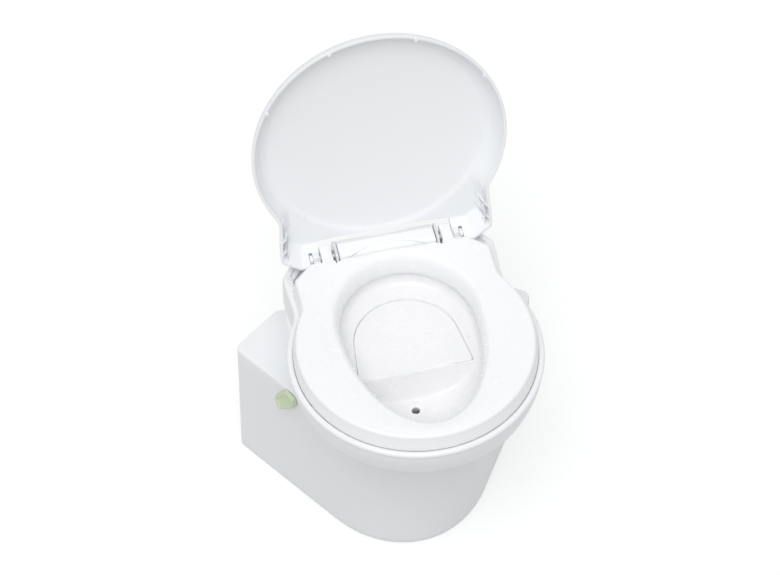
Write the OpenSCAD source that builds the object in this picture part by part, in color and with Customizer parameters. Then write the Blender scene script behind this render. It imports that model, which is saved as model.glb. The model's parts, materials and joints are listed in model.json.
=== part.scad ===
// Composting toilet with a urine-diverting bowl, in millimetres.
// X runs to the right as seen from the front, Y to the back and Z up.
// The origin is on the floor, straight below the centre of the round seat.
// The lid is drawn open, and every piece below it as it stands in use.

/* [Base] */
// Width of the base across its rear corners
base_w = 447; // [430:1:460]
// Distance from the seat's centre back to the widest corner
corner_y = 205; // [195:1:215]
// Distance from the seat's centre back to the rear wall
rear_y = 258; // [252:1:270]
// Width of the flat rear wall
rear_w = 300; // [280:1:320]
// Half width of the ellipse that the nose of the base follows
nose_rx = 147; // [143:1:155]
// Half length of the ellipse that the nose of the base follows
nose_ry = 189; // [184:1:196]
// Distance from the seat's centre back to the centre of that ellipse
nose_cy = 154; // [150:1:158]
// Height of the shoulder above the floor
shoulder_z = 232; // [228:1:240]
// Thickness of the shoulder plate
shoulder_t = 4; // [3:0.5:6]
// Wall thickness of the base
base_wall = 4; // [3:0.5:6]
// Thickness of the base's floor
floor_t = 4; // [3:0.5:6]
// Radius of the base's upright corners
corner_r = 12; // [6:1:18]

/* [Upper section] */
// Radius of the rim bead, outside
rim_r = 182.5; // [181:0.5:184]
// Depth of the rim bead's crest below the seat's top
rim_drop = 26; // [24:0.5:28]
// Radius of the bead's round edge
bead_r = 5; // [4:0.5:6]
// Height of the skirt below the bead
skirt_h = 42; // [36:1:46]
// How far the skirt curves in below the bead
skirt_in = 9; // [6:1:12]
// Depth of the rim's deck below the crest
deck_drop = 14; // [13:0.5:16]
// Wall thickness of the upper shell
shell_wall = 3.5; // [3:0.5:5]
// Half width of the neck where it meets the shoulder
neck_x = 138; // [130:1:142]
// Distance back to the neck's rear edge on the shoulder
neck_rear = 246; // [240:1:250]
// Half width of the hinge ears
ear_x = 155; // [153:0.5:158]
// Distance back to the ears' rear corners
ear_corner_y = 174; // [170:1:178]
// Half width between the ears' rear chamfers
ear_rear_x = 128; // [124:1:132]
// Distance back to the rear of the upper section's rim
ear_rear_y = 210; // [207:1:214]

/* [Seat] */
// Height of the seat's top above the floor
seat_top = 440; // [438:1:442]
// How much smaller the radius of the seat's top face is than the rim's
seat_margin = 12.5; // [12:0.5:14]
// Height of the seat's side band
seat_h = 24; // [23:0.5:25]
// How much wider the seat is at its foot than at its top
seat_draft = 3; // [1:0.5:3.5]
// Wall thickness of the seat
seat_wall = 5; // [4:0.5:6]
// Radius of the seat's upper edge
seat_edge_r = 5; // [3:0.5:7]
// Half width of the seat's opening
mouth_x = 103; // [100:1:105]
// Distance back to the widest place of the opening
mouth_cy = 45; // [40:1:50]
// Width of the seat ahead of its opening
front_land = 20; // [17:1:25]
// Length of the opening behind its widest place
mouth_rear = 112; // [108:1:113]
// How much the opening narrows from the seat's top to its throat
mouth_roll = 13; // [10:0.5:14]
// Depth of the seat's lip inside the bowl, below the seat's foot
lip_drop = 13; // [11:0.5:14]
// Thickness of that lip
lip_t = 3; // [2.5:0.5:4]

/* [Lid] */
// How much larger the lid's radius is than the rim's
lid_over = 1.5; // [1:0.5:3]
// Inner height of the lid's dish
lid_depth = 30; // [29:0.5:33]
// Wall thickness of the lid
lid_wall = 4; // [3:0.5:5]
// Width of the lid's rim land
lid_land = 8; // [7:0.5:8.5]
// Rise of the lid's crown
lid_crown = 8; // [4:1:12]
// How far the lid stands open, in degrees
lid_open = 104.5; // [96:0.5:106]
// Half width of the notch that clears the hinge
notch_x = 80; // [79:0.5:82]
// Distance back to the notch's front edge
notch_y = 146; // [140:1:150]

/* [Hinge] */
// Distance back to the hinge axis
hinge_y = 185; // [183:0.5:187]
// Depth of the hinge axis below the seat's top
hinge_drop = 12; // [11:0.5:13]
// Radius of the hinge rod
rod_r = 3; // [2.5:0.5:4]
// Radial clearance of a pin that turns in its hole
run_gap = 0.06; // [0.03:0.01:0.1]
// Clearance between neighbouring moving pieces
side_gap = 1.5; // [1:0.25:2]

/* [Bowl] */
// Depth of the ledge between the two outlets below the seat's top
ledge_drop = 64; // [62:1:66]
// Wall thickness of the bowl
bowl_wall = 3; // [2.5:0.5:4]
// Radial clearance between the seat's lip and the bowl
lip_gap = 2; // [1.5:0.5:3]
// Radius of the arched outlet for solids
arch_r = 84; // [80:1:85]
// Distance back to the centre of the outlet's arch
arch_cy = 50; // [47:1:52]
// Distance back to the front edge of that outlet
arch_front = -2; // [-3:0.5:0]
// Length of the chute below that outlet
chute_h = 46; // [40:1:50]
// Distance back to the divider's crest
crest_y = -6; // [-7:0.5:-5]
// Depth of the urine basin below the ledge
basin_depth = 45; // [40:1:48]
// Distance back to the drain hole
drain_y = -40; // [-44:1:-38]
// Radius of the drain hole
drain_r = 6; // [5:0.5:7]

/* [View flap] */
// Thickness of the flap
flap_t = 3; // [2.5:0.5:4]
// Gap round the flap
flap_gap = 1.2; // [0.8:0.1:1.6]
// Distance back to the flap's pivot
flap_pivot_y = 20; // [16:1:22]
// Depth of the flap's pivot below the ledge
flap_drop = 8; // [7:0.5:10]
// Radius of the flap's pivot pins
flap_pin_r = 3; // [2:0.5:3.5]

/* [Container] */
// Radius of the container at its rim
can_r = 116; // [108:1:118]
// Height of the container
can_h = 200; // [180:1:203]
// Wall thickness of the container
can_wall = 3; // [2:0.5:4]
// Distance back to the turntable's axis
can_y = 105; // [102:1:108]
// Radius of the turntable
table_r = 96; // [88:1:98]
// Thickness of the turntable
table_t = 6; // [5:0.5:8]
// Radius of the post that the turntable turns on
post_r = 9; // [7:0.5:11]
// Radius of the container handle's wire
bail_wire = 2.5; // [2:0.25:3]

/* [Ventilation and drain] */
// Outside radius of the vent spigot
vent_r = 37.5; // [36:0.5:38.5]
// Distance from the middle to the vent and drain spigots
spigot_x = 95; // [92:1:98]
// Height of the vent spigot
vent_z = 150; // [140:1:160]
// Outside radius of the drain outlet
outlet_r = 16; // [14:0.5:18]
// Height of the drain outlet
outlet_z = 60; // [50:1:70]
// Length of both spigots
spigot_l = 34; // [28:1:40]
// Width of the fan's square frame
fan_w = 60; // [56:1:64]
// Thickness of the fan
fan_t = 15; // [12:1:18]
// Number of the fan's blades
blades = 7; // [5:1:9]
// Outside radius of the urine hose
hose_r = 8; // [7:0.5:9]

/* [Side knobs] */
// Distance back to the knobs, along the middle line
knob_y = 110; // [104:1:116]
// Height of the knobs
knob_z = 213; // [212:0.5:214]
// Width of a knob
knob_w = 34; // [30:1:38]
// Height of a knob
knob_h = 40; // [36:1:44]
// Thickness of a knob
knob_t = 12; // [9:0.5:14]
// Reach of the latch cam inside the wall
cam_reach = 12; // [11:0.5:13]

/* [Hidden] */

white = [0.93, 0.94, 0.94];
pale = [0.88, 0.9, 0.9];
sage = [0.73, 0.78, 0.62];
steel = [0.72, 0.73, 0.75];
dark = [0.16, 0.17, 0.18];
grey = [0.55, 0.57, 0.58];

eps = 0.01;
round_n = 72;
fine_n = 96;
small_n = 32;
still_gap = 0.3;

// ---- plan outlines ----

function unit(v) = v / norm(v);

// The points of a rounded corner at b, between a and c
function corner(a, b, c, r, n = 5) =
    r == 0 ? [b] :
    let (u = unit(a - b), v = unit(c - b), half = acos(u * v) / 2)
    let (m = b + unit(u + v) * r / sin(half), p = b + u * r / tan(half) - m)
    let (q = b + v * r / tan(half) - m, turn = p.x * q.y - p.y * q.x > 0 ? 1 : -1)
    let (from = atan2(p.y, p.x), sweep = turn * (180 - 2 * half))
    [for (i = [0:n]) m + r * [cos(from + sweep * i / n), sin(from + sweep * i / n)]];

// A closed outline with each corner rounded by its own radius
function rounded(pts, rs) = let (n = len(pts)) [
    for (i = [0:n - 1]) each corner(pts[(i + n - 1) % n], pts[i], pts[(i + 1) % n], rs[i])
];

// An anticlockwise outline moved in by d
function inset(pts, d) = let (n = len(pts)) [
    for (i = [0:n - 1])
        let (e = unit(pts[i] - pts[(i + n - 1) % n]), f = unit(pts[(i + 1) % n] - pts[i]))
        let (a = [-e.y, e.x], b = [-f.y, f.x])
        pts[i] + d * (a + b) / (1 + a * b)
];

function mirrored(pts) = concat(pts, [for (i = [len(pts) - 1:-1:0]) [-pts[i].x, pts[i].y]]);

// Where a line from the widest corner touches the nose's ellipse
corner_p = [base_w / 2, corner_y];
touch_v = [corner_p.x / nose_rx, (corner_p.y - nose_cy) / nose_ry];
touch_a = acos(1 / norm(touch_v)) - atan2(touch_v.y, touch_v.x);
nose_n = 20;
function nose(t) = [nose_rx * cos(t), nose_cy - nose_ry * sin(t)];

base_side = concat(
    [for (i = [0:nose_n]) nose(90 + (touch_a - 90) * i / nose_n)],
    corner(nose(touch_a), corner_p, [rear_w / 2, rear_y], corner_r),
    corner(corner_p, [rear_w / 2, rear_y], [0, rear_y], corner_r)
);
base_plan = mirrored([for (i = [1:len(base_side) - 1]) base_side[i]]);
base_outline = concat([base_side[0]], base_plan);

wall_u = unit(corner_p - nose(touch_a));
wall_n = [wall_u.y, -wall_u.x];
wall_turn = atan2(wall_u.y, wall_u.x);
knob_p = nose(touch_a) + wall_u * (knob_y - nose(touch_a).y) / wall_u.y;

// The neck where it stands on the shoulder
neck_t = acos(neck_x / nose_rx);
neck_r = 24;
neck_gap = 3;
neck_side = concat(
    [for (i = [1:nose_n]) nose(90 + (neck_t - 90) * i / nose_n) + [0, neck_gap]],
    corner([neck_x, nose_cy], [neck_x, neck_rear], [0, neck_rear], neck_r)
);
neck_outline = concat([nose(90) + [0, neck_gap]], mirrored(neck_side));

// The egg-shaped mouth, widened by o
mouth_front = mouth_cy + rim_r - seat_margin - front_land;
function mouth(o, n = round_n) = [
    for (i = [0:n - 1]) let (t = 360 * i / n, l = sin(t) > 0 ? mouth_rear : mouth_front)
        [(mouth_x + o) * cos(t), mouth_cy + (l + o) * sin(t)]
];

// The arched outlet, widened by o
function arch(o = 0) = concat(
    [[-arch_r - o, arch_front - o], [arch_r + o, arch_front - o]],
    [for (a = [0:7.5:180]) [(arch_r + o) * cos(a), arch_cy + (arch_r + o) * sin(a)]]
);

// The outline of the hinge ears of rim and lid, with its rear edge at y
function ears(y, o = 0) = let (x = ear_x + o, rx = ear_rear_x + o) rounded(
    [[-x + 4, 60], [x - 4, 60], [x - 3, 100], [x, 140], [x, ear_corner_y + o / 2],
     [rx, y + o], [-rx, y + o], [-x, ear_corner_y + o / 2], [-x, 140], [-x + 3, 100]],
    [0, 0, 12, 30, 8, 12, 12, 8, 30, 12]
);

// ---- solids ----

// A closed skin over a stack of rings of equally many points
module skin(rings) {
    n = len(rings[0]);
    m = len(rings);
    polyhedron(
        points = [for (r = rings) each r],
        faces = concat(
            [[for (i = [0:n - 1]) i]],
            [for (j = [0:m - 2], i = [0:n - 1]) let (k = (i + 1) % n)
                each [[j * n + i, (j + 1) * n + k, j * n + k],
                      [j * n + i, (j + 1) * n + i, (j + 1) * n + k]]],
            [[for (i = [0:n - 1]) m * n - 1 - i]]
        )
    );
}

function level(pts, z) = [for (p = pts) [p.x, p.y, z]];

// A ring of sides points round p, square to the direction t
function hoop(p, t, r, sides) =
    let (u = unit(cross(t, [0.31, 0.17, 0.93])), v = cross(unit(t), u))
    [for (i = [0:sides - 1]) p + r * (u * cos(360 * i / sides) + v * sin(360 * i / sides))];

// Chaikin's corner cutting, which keeps both ends
function smooth(p, times) = times == 0 ? p : smooth(concat([p[0]],
    [for (i = [0:len(p) - 2]) each [p[i] * 0.75 + p[i + 1] * 0.25,
                                   p[i] * 0.25 + p[i + 1] * 0.75]],
    [p[len(p) - 1]]), times - 1);

// A bent tube along p that ends square to its first and last stretch
module bent_tube(p, r, sides = 10) {
    n = len(p);
    skin([for (i = [0:n - 1])
        hoop(p[i], unit(p[min(i + 1, n - 1)] - p[max(i - 1, 0)]), r, sides)]);
}

module prism(pts, z0, z1) translate([0, 0, z0]) linear_extrude(z1 - z0) polygon(pts);

// A cylinder along Y from y0 to y1
module y_rod(r, x, y0, y1, z, n = small_n)
    translate([x, y0, z]) rotate([-90, 0, 0]) cylinder(r = r, h = y1 - y0, $fn = n);

// A cylinder along X from x0 to x1
module x_rod(r, x0, x1, y, z, n = small_n)
    translate([x0, y, z]) rotate([0, 90, 0]) cylinder(r = r, h = x1 - x0, $fn = n);

// A plate cut to a Y-Z outline, from x0 to x1
module x_plate(pts, x0, x1)
    translate([x0, 0, 0]) rotate([90, 0, 90]) linear_extrude(x1 - x0) polygon(pts);

module box(lo, hi) translate(lo) cube(hi - lo);

module both_sides() {
    children();
    mirror([1, 0, 0]) children();
}

// Into the frame of the right-hand side wall: X along it, Y up, Z out of it
module on_wall(z)
    translate([knob_p.x, knob_p.y, z]) rotate([0, 0, wall_turn]) rotate([90, 0, 0]) children();

// ---- heights and places ----

rim_z = seat_top - rim_drop;
hinge_z = seat_top - hinge_drop;
ledge_z = seat_top - ledge_drop;
chute_z = ledge_z - chute_h;
seat_r = rim_r - seat_margin;
lid_r = rim_r + lid_over;
seat_rear = hinge_y - 15;
rim_land = 8;
recess_y = ear_rear_y - rim_land;
base_top = shoulder_z - shoulder_t - still_gap;
seat_foot = seat_top - seat_h;
deck_z = rim_z - deck_drop;
skirt_z = rim_z - 2 * bead_r - skirt_h;
flange_t = 3;
gasket_t = 2;
flange_z = deck_z + gasket_t;
flange_w = 12;
lip_z = seat_foot - lip_drop;
throat = -mouth_roll;
bowl_in = throat + lip_t + lip_gap;
land_z = seat_foot;
lid_top = land_z + lid_depth + lid_wall;

can_z = floor_t + 14;
table_z = can_z - table_t;
lip_out = 2;
bail_r = can_r + 8.6;
bail_z = can_z + can_h - 28;

hose_bore = hose_r - 2.5;
receiver_p = [-118, 215];
receiver_top = base_top - 3;
tilt_y = rear_y + 10;
tilt_z = shoulder_z + 4;
tilt_x = 52;
fan_y = rear_y - base_wall - fan_t;
flap_pivot_z = ledge_z - flap_drop;

cheek_t = 4;
cheek_x = 72;
seat_lug = [cheek_x + cheek_t + 4, cheek_x + cheek_t + 20];
lid_lug = [seat_lug[1] + side_gap + 1, seat_lug[1] + side_gap + 9];
lever_x = [lid_lug[1] + side_gap, lid_lug[1] + side_gap + 4];
lever_z = seat_foot - 4;
lever_h = 6;
lever_r = 6;
lever_front = 12;

// ---- base ----

module base_tub() color(white) difference() {
    union() {
        difference() {
            prism(base_outline, 0, base_top);
            prism(inset(base_outline, base_wall), floor_t, base_top + 1);
        }
        base_ribs();
        on_wall_bosses();
    }
    both_sides() on_wall(knob_z) translate([0, 0, -base_wall - 4])
        cylinder(r = latch_shaft_r + run_gap, h = base_wall + 8, $fn = small_n);
    y_rod(vent_r - 3, spigot_x, rear_y - base_wall - 1, rear_y + 1, vent_z, round_n);
    y_rod(outlet_r - 3, -spigot_x, rear_y - base_wall - 1, rear_y + 1, outlet_z);
    for (x = [-floor_hole_x, floor_hole_x], y = floor_hole_y)
        translate([x, y, -1]) cylinder(r = floor_hole_r, h = floor_t + 2, $fn = small_n);
    y_rod(socket_r, 0, rear_y - base_wall - 1, rear_y + 1, socket_z);
}

latch_shaft_r = 4;
floor_hole_x = 140;
floor_hole_y = [165, 235];
floor_hole_r = 2.75;
socket_r = 6;
socket_z = 40;
rib_t = 3;
rib_w = 8;
cam_gap = 3;
knob_gap = 1;
hook_gap = 0.4;

// Stiffening ribs up the inside of the side walls and the nose
module base_ribs() intersection() {
    prism(inset(base_outline, base_wall - 1), floor_t - 1, bail_z - 40);
    union() {
        both_sides() for (s = [30, 150])
            translate([nose(touch_a).x, nose(touch_a).y, 0]) rotate([0, 0, wall_turn])
                translate([s, 0, 0]) cube([rib_t, rib_w, base_top]);
        both_sides() translate([34, nose(75).y, 0]) cube([rib_t, rib_w + 4, base_top]);
    }
}

module on_wall_bosses() both_sides() on_wall(knob_z) translate([0, 0, -base_wall - cam_gap + 1])
    cylinder(r = latch_shaft_r + 3, h = cam_gap, $fn = small_n);

module turntable_post() color(pale) translate([0, can_y, floor_t]) {
    cylinder(r = post_r + 8, h = table_z - floor_t - still_gap, $fn = small_n);
    cylinder(r = post_r, h = can_z - floor_t - 2, $fn = small_n);
}

fan_bore = fan_w / 2 - 3;
hub_r = 11;

module fan_frame() color(dark) difference() {
    box([spigot_x - fan_w / 2, fan_y, vent_z - fan_w / 2],
        [spigot_x + fan_w / 2, fan_y + fan_t, vent_z + fan_w / 2]);
    difference() {
        y_rod(fan_bore, spigot_x, fan_y - 1, fan_y + fan_t + 1, vent_z, round_n);
        y_rod(hub_r, spigot_x, fan_y + fan_t - 3, fan_y + fan_t, vent_z);
        for (a = [45:90:315]) translate([spigot_x, 0, vent_z]) rotate([0, a, 0])
            box([-1.5, fan_y + fan_t - 3, 0], [1.5, fan_y + fan_t, fan_w / 2]);
    }
    y_rod(2 + run_gap, spigot_x, fan_y, fan_y + fan_t + 1, vent_z);
    for (x = [-1, 1], z = [-1, 1])
        y_rod(2.2, spigot_x + x * (fan_w / 2 - 5), fan_y - 1, fan_y + fan_t + 1,
              vent_z + z * (fan_w / 2 - 5));
}

module fan_rotor() color(dark) {
    y_rod(hub_r, spigot_x, fan_y + 1.5, fan_y + fan_t - 4, vent_z);
    y_rod(2, spigot_x, fan_y + fan_t - 5, fan_y + fan_t, vent_z);
    for (i = [0:blades - 1]) translate([spigot_x, fan_y + fan_t / 2 - 1, vent_z])
        rotate([0, 360 * i / blades, 0]) rotate([0, 0, 42])
            box([-0.8, -4.4, hub_r - 2], [0.8, 4.4, fan_bore - 2]);
}

module fan_grille() color(dark) difference() {
    y_rod(fan_bore + 1, spigot_x, fan_y - 3, fan_y, vent_z, round_n);
    difference() {
        y_rod(fan_bore - 1.5, spigot_x, fan_y - 4, fan_y + 1, vent_z, round_n);
        y_rod(8, spigot_x, fan_y - 3, fan_y, vent_z);
        for (r = [14, 20]) difference() {
            y_rod(r + 1, spigot_x, fan_y - 2.5, fan_y, vent_z, round_n);
            y_rod(r - 1, spigot_x, fan_y - 4, fan_y + 1, vent_z, round_n);
        }
        for (a = [0:45:135]) translate([spigot_x, 0, vent_z]) rotate([0, a, 0])
            box([-fan_bore, fan_y - 3, -1], [fan_bore, fan_y, 1]);
    }
}

module vent_spigot() color(white) difference() {
    union() {
        y_rod(vent_r, spigot_x, rear_y, rear_y + spigot_l, vent_z, fine_n);
        y_rod(vent_r + 8, spigot_x, rear_y, rear_y + 3, vent_z, fine_n);
    }
    y_rod(vent_r - 3, spigot_x, rear_y - 1, rear_y + spigot_l + 1, vent_z, fine_n);
}

// A flat ring on the flange, which the vent pipe is pushed against
module vent_gasket() color(dark) difference() {
    y_rod(vent_r + 6, spigot_x, rear_y + 3, rear_y + 5, vent_z, fine_n);
    y_rod(vent_r + 1, spigot_x, rear_y + 2, rear_y + 6, vent_z, fine_n);
}

module drain_outlet() color(white) difference() {
    union() {
        y_rod(outlet_r, -spigot_x, rear_y, rear_y + spigot_l, outlet_z, round_n);
        y_rod(outlet_r + 6, -spigot_x, rear_y, rear_y + 3, outlet_z, round_n);
        y_rod(outlet_r - 3.1, -spigot_x, rear_y - 16, rear_y + 1, outlet_z);
    }
    y_rod(hose_bore, -spigot_x, rear_y - 17, rear_y + spigot_l + 1, outlet_z);
}

module drain_receiver() color(white) difference() {
    union() {
        translate([receiver_p.x, receiver_p.y, receiver_top - 34])
            rotate_extrude($fn = round_n)
                polygon([[0, 0], [hose_r + 2, 0], [hose_r + 2, 12], [21, 26], [21, 34], [0, 34]]);
        box([receiver_p.x - 6, receiver_p.y + 8, receiver_top - 30],
            [receiver_p.x + 6, rear_y - base_wall, receiver_top - 22]);
    }
    translate([receiver_p.x, receiver_p.y, receiver_top - 35]) rotate_extrude($fn = round_n)
        polygon([[0, 0], [hose_bore, 0], [hose_bore, 13], [18.5, 27], [18.5, 36], [0, 36]]);
}

drain_route = smooth([
    [receiver_p.x, receiver_p.y, receiver_top - 34], [receiver_p.x, receiver_p.y, 150],
    [-126, 205, 95], [-110, 200, outlet_z], [-spigot_x, 215, outlet_z],
    [-spigot_x, rear_y - 16, outlet_z]
], 2);

module drain_hose() color(grey) bent_tube(drain_route, hose_r);

knuckle_r = 7;
tilt_pin_r = 3;

module tilt_brackets() color(pale) both_sides() difference() {
    union() {
        box([tilt_x - 16, rear_y, tilt_z - 44], [tilt_x + 16, rear_y + 3, tilt_z - 9]);
        for (x = [tilt_x - 14, tilt_x + 6]) x_plate([
            [rear_y, tilt_z - 40], [rear_y + 5, tilt_z - 30], [tilt_y + knuckle_r, tilt_z - 2],
            [tilt_y + knuckle_r, tilt_z], [tilt_y - 5, tilt_z - 3], [rear_y, tilt_z - 9]
        ], x, x + 8);
        for (x = [tilt_x - 14, tilt_x + 6]) x_rod(knuckle_r, x, x + 8, tilt_y, tilt_z);
    }
    x_rod(tilt_pin_r, tilt_x - 17, tilt_x + 17, tilt_y, tilt_z);
}

module tilt_pins() color(steel) both_sides() {
    x_rod(tilt_pin_r, tilt_x - 15, tilt_x + 15, tilt_y, tilt_z);
    x_rod(tilt_pin_r + 2, tilt_x + 14 + still_gap, tilt_x + 16, tilt_y, tilt_z);
}

module fan_socket() color(dark) difference() {
    union() {
        y_rod(socket_r, 0, rear_y - base_wall - 8, rear_y, socket_z);
        y_rod(socket_r + 3, 0, rear_y, rear_y + 2, socket_z);
    }
    y_rod(3, 0, rear_y - 6, rear_y + 3, socket_z);
}

// ---- container on its turntable ----

lug_h = 1.5;

module turntable() color(pale) translate([0, can_y, 0]) difference() {
    union() {
        translate([0, 0, table_z]) cylinder(r = table_r, h = table_t, $fn = fine_n);
        for (a = [30:120:270]) rotate([0, 0, a]) translate([table_r - 8, 0, can_z - 1])
            cylinder(r = 4, h = lug_h + 1, $fn = small_n);
    }
    translate([0, 0, table_z - 1]) cylinder(r = post_r + run_gap, h = table_t + 2, $fn = small_n);
    for (a = [0:60:300]) rotate([0, 0, a]) translate([table_r * 0.55, 0, table_z - 1])
        cylinder(r = 14, h = table_t + 2, $fn = small_n);
}

module container() color(grey) translate([0, can_y, can_z]) difference() {
    union() {
        rotate_extrude($fn = fine_n) polygon([
            [0, 0], [can_r * 0.88, 0], [can_r * 0.88 + 3, 3], [can_r, can_h - 6],
            [can_r + lip_out, can_h - 6], [can_r + lip_out, can_h - 3], [can_r + lip_out - 1, can_h],
            [can_r - can_wall, can_h],
            [can_r * 0.88 - can_wall, can_wall], [0, can_wall]
        ]);
        both_sides() x_rod(9, can_r - 8, can_r + 4, 0, bail_z - can_z);
    }
    for (a = [30:120:270]) rotate([0, 0, a]) translate([table_r - 8, 0, -1])
        cylinder(r = 4 + still_gap, h = lug_h + 1 + still_gap, $fn = small_n);
    both_sides() x_rod(bail_wire + run_gap, can_r - 3, can_r + 5, 0, bail_z - can_z);
    rotate_extrude($fn = fine_n) polygon([
        [0, can_wall], [can_r * 0.88 - can_wall, can_wall], [can_r - can_wall, can_h - 6],
        [can_r - can_wall, can_h + 1], [0, can_h + 1]
    ]);
}

module container_handle() color(steel) translate([0, can_y, bail_z]) {
    rotate_extrude(angle = 180, $fn = fine_n) translate([bail_r, 0])
        circle(r = bail_wire, $fn = small_n);
    both_sides() {
        x_rod(bail_wire, can_r - 2, bail_r, 0, 0);
        translate([bail_r, 0, 0]) sphere(r = bail_wire + 0.5, $fn = small_n);
    }
}

// ---- side knobs and latches ----

module latch_knob() on_wall(knob_z) difference() {
    union() {
        translate([0, 0, knob_gap]) linear_extrude(knob_t - 2 - knob_gap) polygon(knob_plan(0));
        hull() {
            translate([0, 0, knob_t - 3]) linear_extrude(eps) polygon(knob_plan(0));
            translate([0, 0, knob_t]) linear_extrude(eps) polygon(knob_plan(2.5));
        }
        translate([0, 0, -base_wall - cam_gap])
            cylinder(r = latch_shaft_r, h = base_wall + cam_gap + 2, $fn = small_n);
    }
    translate([0, 0, knob_t - 1.5]) linear_extrude(3) polygon(knob_plan(5.5));
    translate([0, 0, -base_wall - cam_gap - 1]) cylinder(r = screw_r, h = 9, $fn = small_n);
}

// A shield with a flat top and a blunt point, drawn in by d
function knob_plan(d) = inset(rounded([
    [-knob_w * 0.3, -knob_h * 0.5], [knob_w * 0.34, -knob_h * 0.42], [knob_w * 0.5, 0],
    [knob_w * 0.3, knob_h * 0.5], [-knob_w * 0.3, knob_h * 0.4], [-knob_w * 0.5, knob_h * 0.05]
], [7, 7, 9, 6, 6, 9]), d);

cam_t = 4;
cam_half = 4;
screw_r = 1.5;

module latch_cam() on_wall(knob_z) translate([0, 0, -base_wall - cam_gap - cam_t]) difference() {
    union() {
        cylinder(r = cam_half + 1, h = cam_t, $fn = small_n);
        translate([-cam_half, 0, 0]) cube([2 * cam_half, cam_reach - cam_half, cam_t]);
        translate([0, cam_reach - cam_half, 0]) cylinder(r = cam_half, h = cam_t, $fn = small_n);
    }
    translate([0, 0, -1]) cylinder(r = screw_r, h = cam_t + 2, $fn = small_n);
}

module latch_screw() on_wall(knob_z) translate([0, 0, -base_wall - cam_gap - cam_t]) {
    cylinder(r = screw_r, h = 12, $fn = small_n);
    translate([0, 0, -2]) cylinder(r = 3, h = 2, $fn = small_n);
}

module latch_knob_right() color(sage) latch_knob();
module latch_knob_left() color(sage) mirror([1, 0, 0]) latch_knob();
module latch_cam_right() color(pale) latch_cam();
module latch_cam_left() color(pale) mirror([1, 0, 0]) latch_cam();
module latch_screw_right() color(steel) latch_screw();
module latch_screw_left() color(steel) mirror([1, 0, 0]) latch_screw();

// ---- upper section ----

// The rim bead, its skirt and the deck, round the seat
module rim_ring() rotate_extrude($fn = fine_n) polygon(concat(
    [[rim_r - 2 * bead_r - 4, deck_z - shell_wall], [rim_r - skirt_in - 3, skirt_z]],
    [for (i = [0:6]) let (t = i / 6)
        [rim_r - skirt_in * (1 - sin(90 * t)) - 1.5, skirt_z + skirt_h * t]],
    [for (a = [-60:20:120]) [rim_r - bead_r + bead_r * cos(a), rim_z - bead_r + bead_r * sin(a)]],
    [[rim_r - rim_land, rim_z - 1.5], [rim_r - rim_land - still_gap, deck_z]],
    [[rim_r - 40, deck_z], [rim_r - 40, deck_z - shell_wall]]
));

module ear_block() {
    prism(ears(ear_rear_y, 0), skirt_z, rim_z);
    prism(ears(ear_rear_y, 2), rim_z - 2 * bead_r, rim_z - 2);
}

// Rim and ears together, with the recess that seat and hinge stand in
module rim() difference() {
    union() {
        rim_ring();
        ear_block();
    }
    prism(ears(ear_rear_y, -rim_land), deck_z, rim_z + 1);
    translate([0, 0, deck_z])
        cylinder(r = rim_r - rim_land - still_gap, h = deck_drop + 1, $fn = fine_n);
}

module neck_solid(d) hull() {
    prism(inset(neck_outline, d), shoulder_z - shoulder_t - eps, shoulder_z + eps);
    translate([0, 0, skirt_z - eps]) cylinder(r = rim_r - skirt_in - 3 - d, h = 2 * eps, $fn = 64);
    prism(ears(ear_rear_y, -d), skirt_z - eps, skirt_z + eps);
}

module upper_shell() color(white) difference() {
    union() {
        prism(base_outline, shoulder_z - shoulder_t, shoulder_z);
        neck_solid(0);
        translate([0, 0, skirt_z]) cylinder(r = rim_r - skirt_in - 3, h = deck_z - skirt_z, $fn = fine_n);
        rim();
        tilt_lugs();
        spring_cups();
    }
    neck_solid(shell_wall);
    translate([0, 0, skirt_z - 1])
        cylinder(r = rim_r - skirt_in - 3 - shell_wall, h = deck_z - shell_wall - skirt_z + 1, $fn = fine_n);
    prism(ears(ear_rear_y, -shell_wall), skirt_z - 1, deck_z - shell_wall);
    prism(mouth(bowl_in + bowl_wall + 2), skirt_z, deck_z + 1);
    translate([-lever_x[1], flap_pivot_y + crank_r, skirt_z])
        cylinder(r = drive_r + run_gap, h = 40, $fn = small_n);
    both_sides() translate([screw_p.x, screw_p.y, deck_z - shell_wall - 1])
        cylinder(r = screw_r, h = shell_wall + 2, $fn = small_n);
    for (x = [-1, 1]) translate([x * spring_x, spring_y, spring_z])
        cylinder(r = spring_r + 1.2, h = 40, $fn = small_n);
}

spring_x = (lever_x[0] + lever_x[1]) / 2;
spring_y = 96;
spring_r = 4.5;
spring_z = lever_z - lever_h - 22;
crank_r = 4;
drive_r = 2;

// Blind cups in the deck for the lever's springs, and the guide of the push rod
module spring_cups() {
    for (x = [-1, 1]) translate([x * spring_x, spring_y, spring_z - 2])
        cylinder(r = spring_r + 3.2, h = deck_z - spring_z + 1, $fn = small_n);
    translate([-lever_x[1], flap_pivot_y + crank_r, deck_z - 14])
        cylinder(r = drive_r + 2.5, h = 13, $fn = small_n);
}

// Hooks under the shoulder that the latch cams close over
hook_w = 5;
hook_x = [8, cam_reach + 2];
hook_top = shoulder_z - shoulder_t - knob_z;

module latch_hooks() color(pale) both_sides() on_wall(knob_z)
    translate([0, 0, -base_wall - cam_gap - cam_t]) linear_extrude(cam_t) polygon([
        [hook_x[0], -cam_half - hook_w], [hook_x[1] + hook_w, -cam_half - hook_w],
        [hook_x[1] + hook_w, hook_top], [hook_x[1], hook_top],
        [hook_x[1], -cam_half - hook_gap], [hook_x[0], -cam_half - hook_gap]
    ]);

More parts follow.
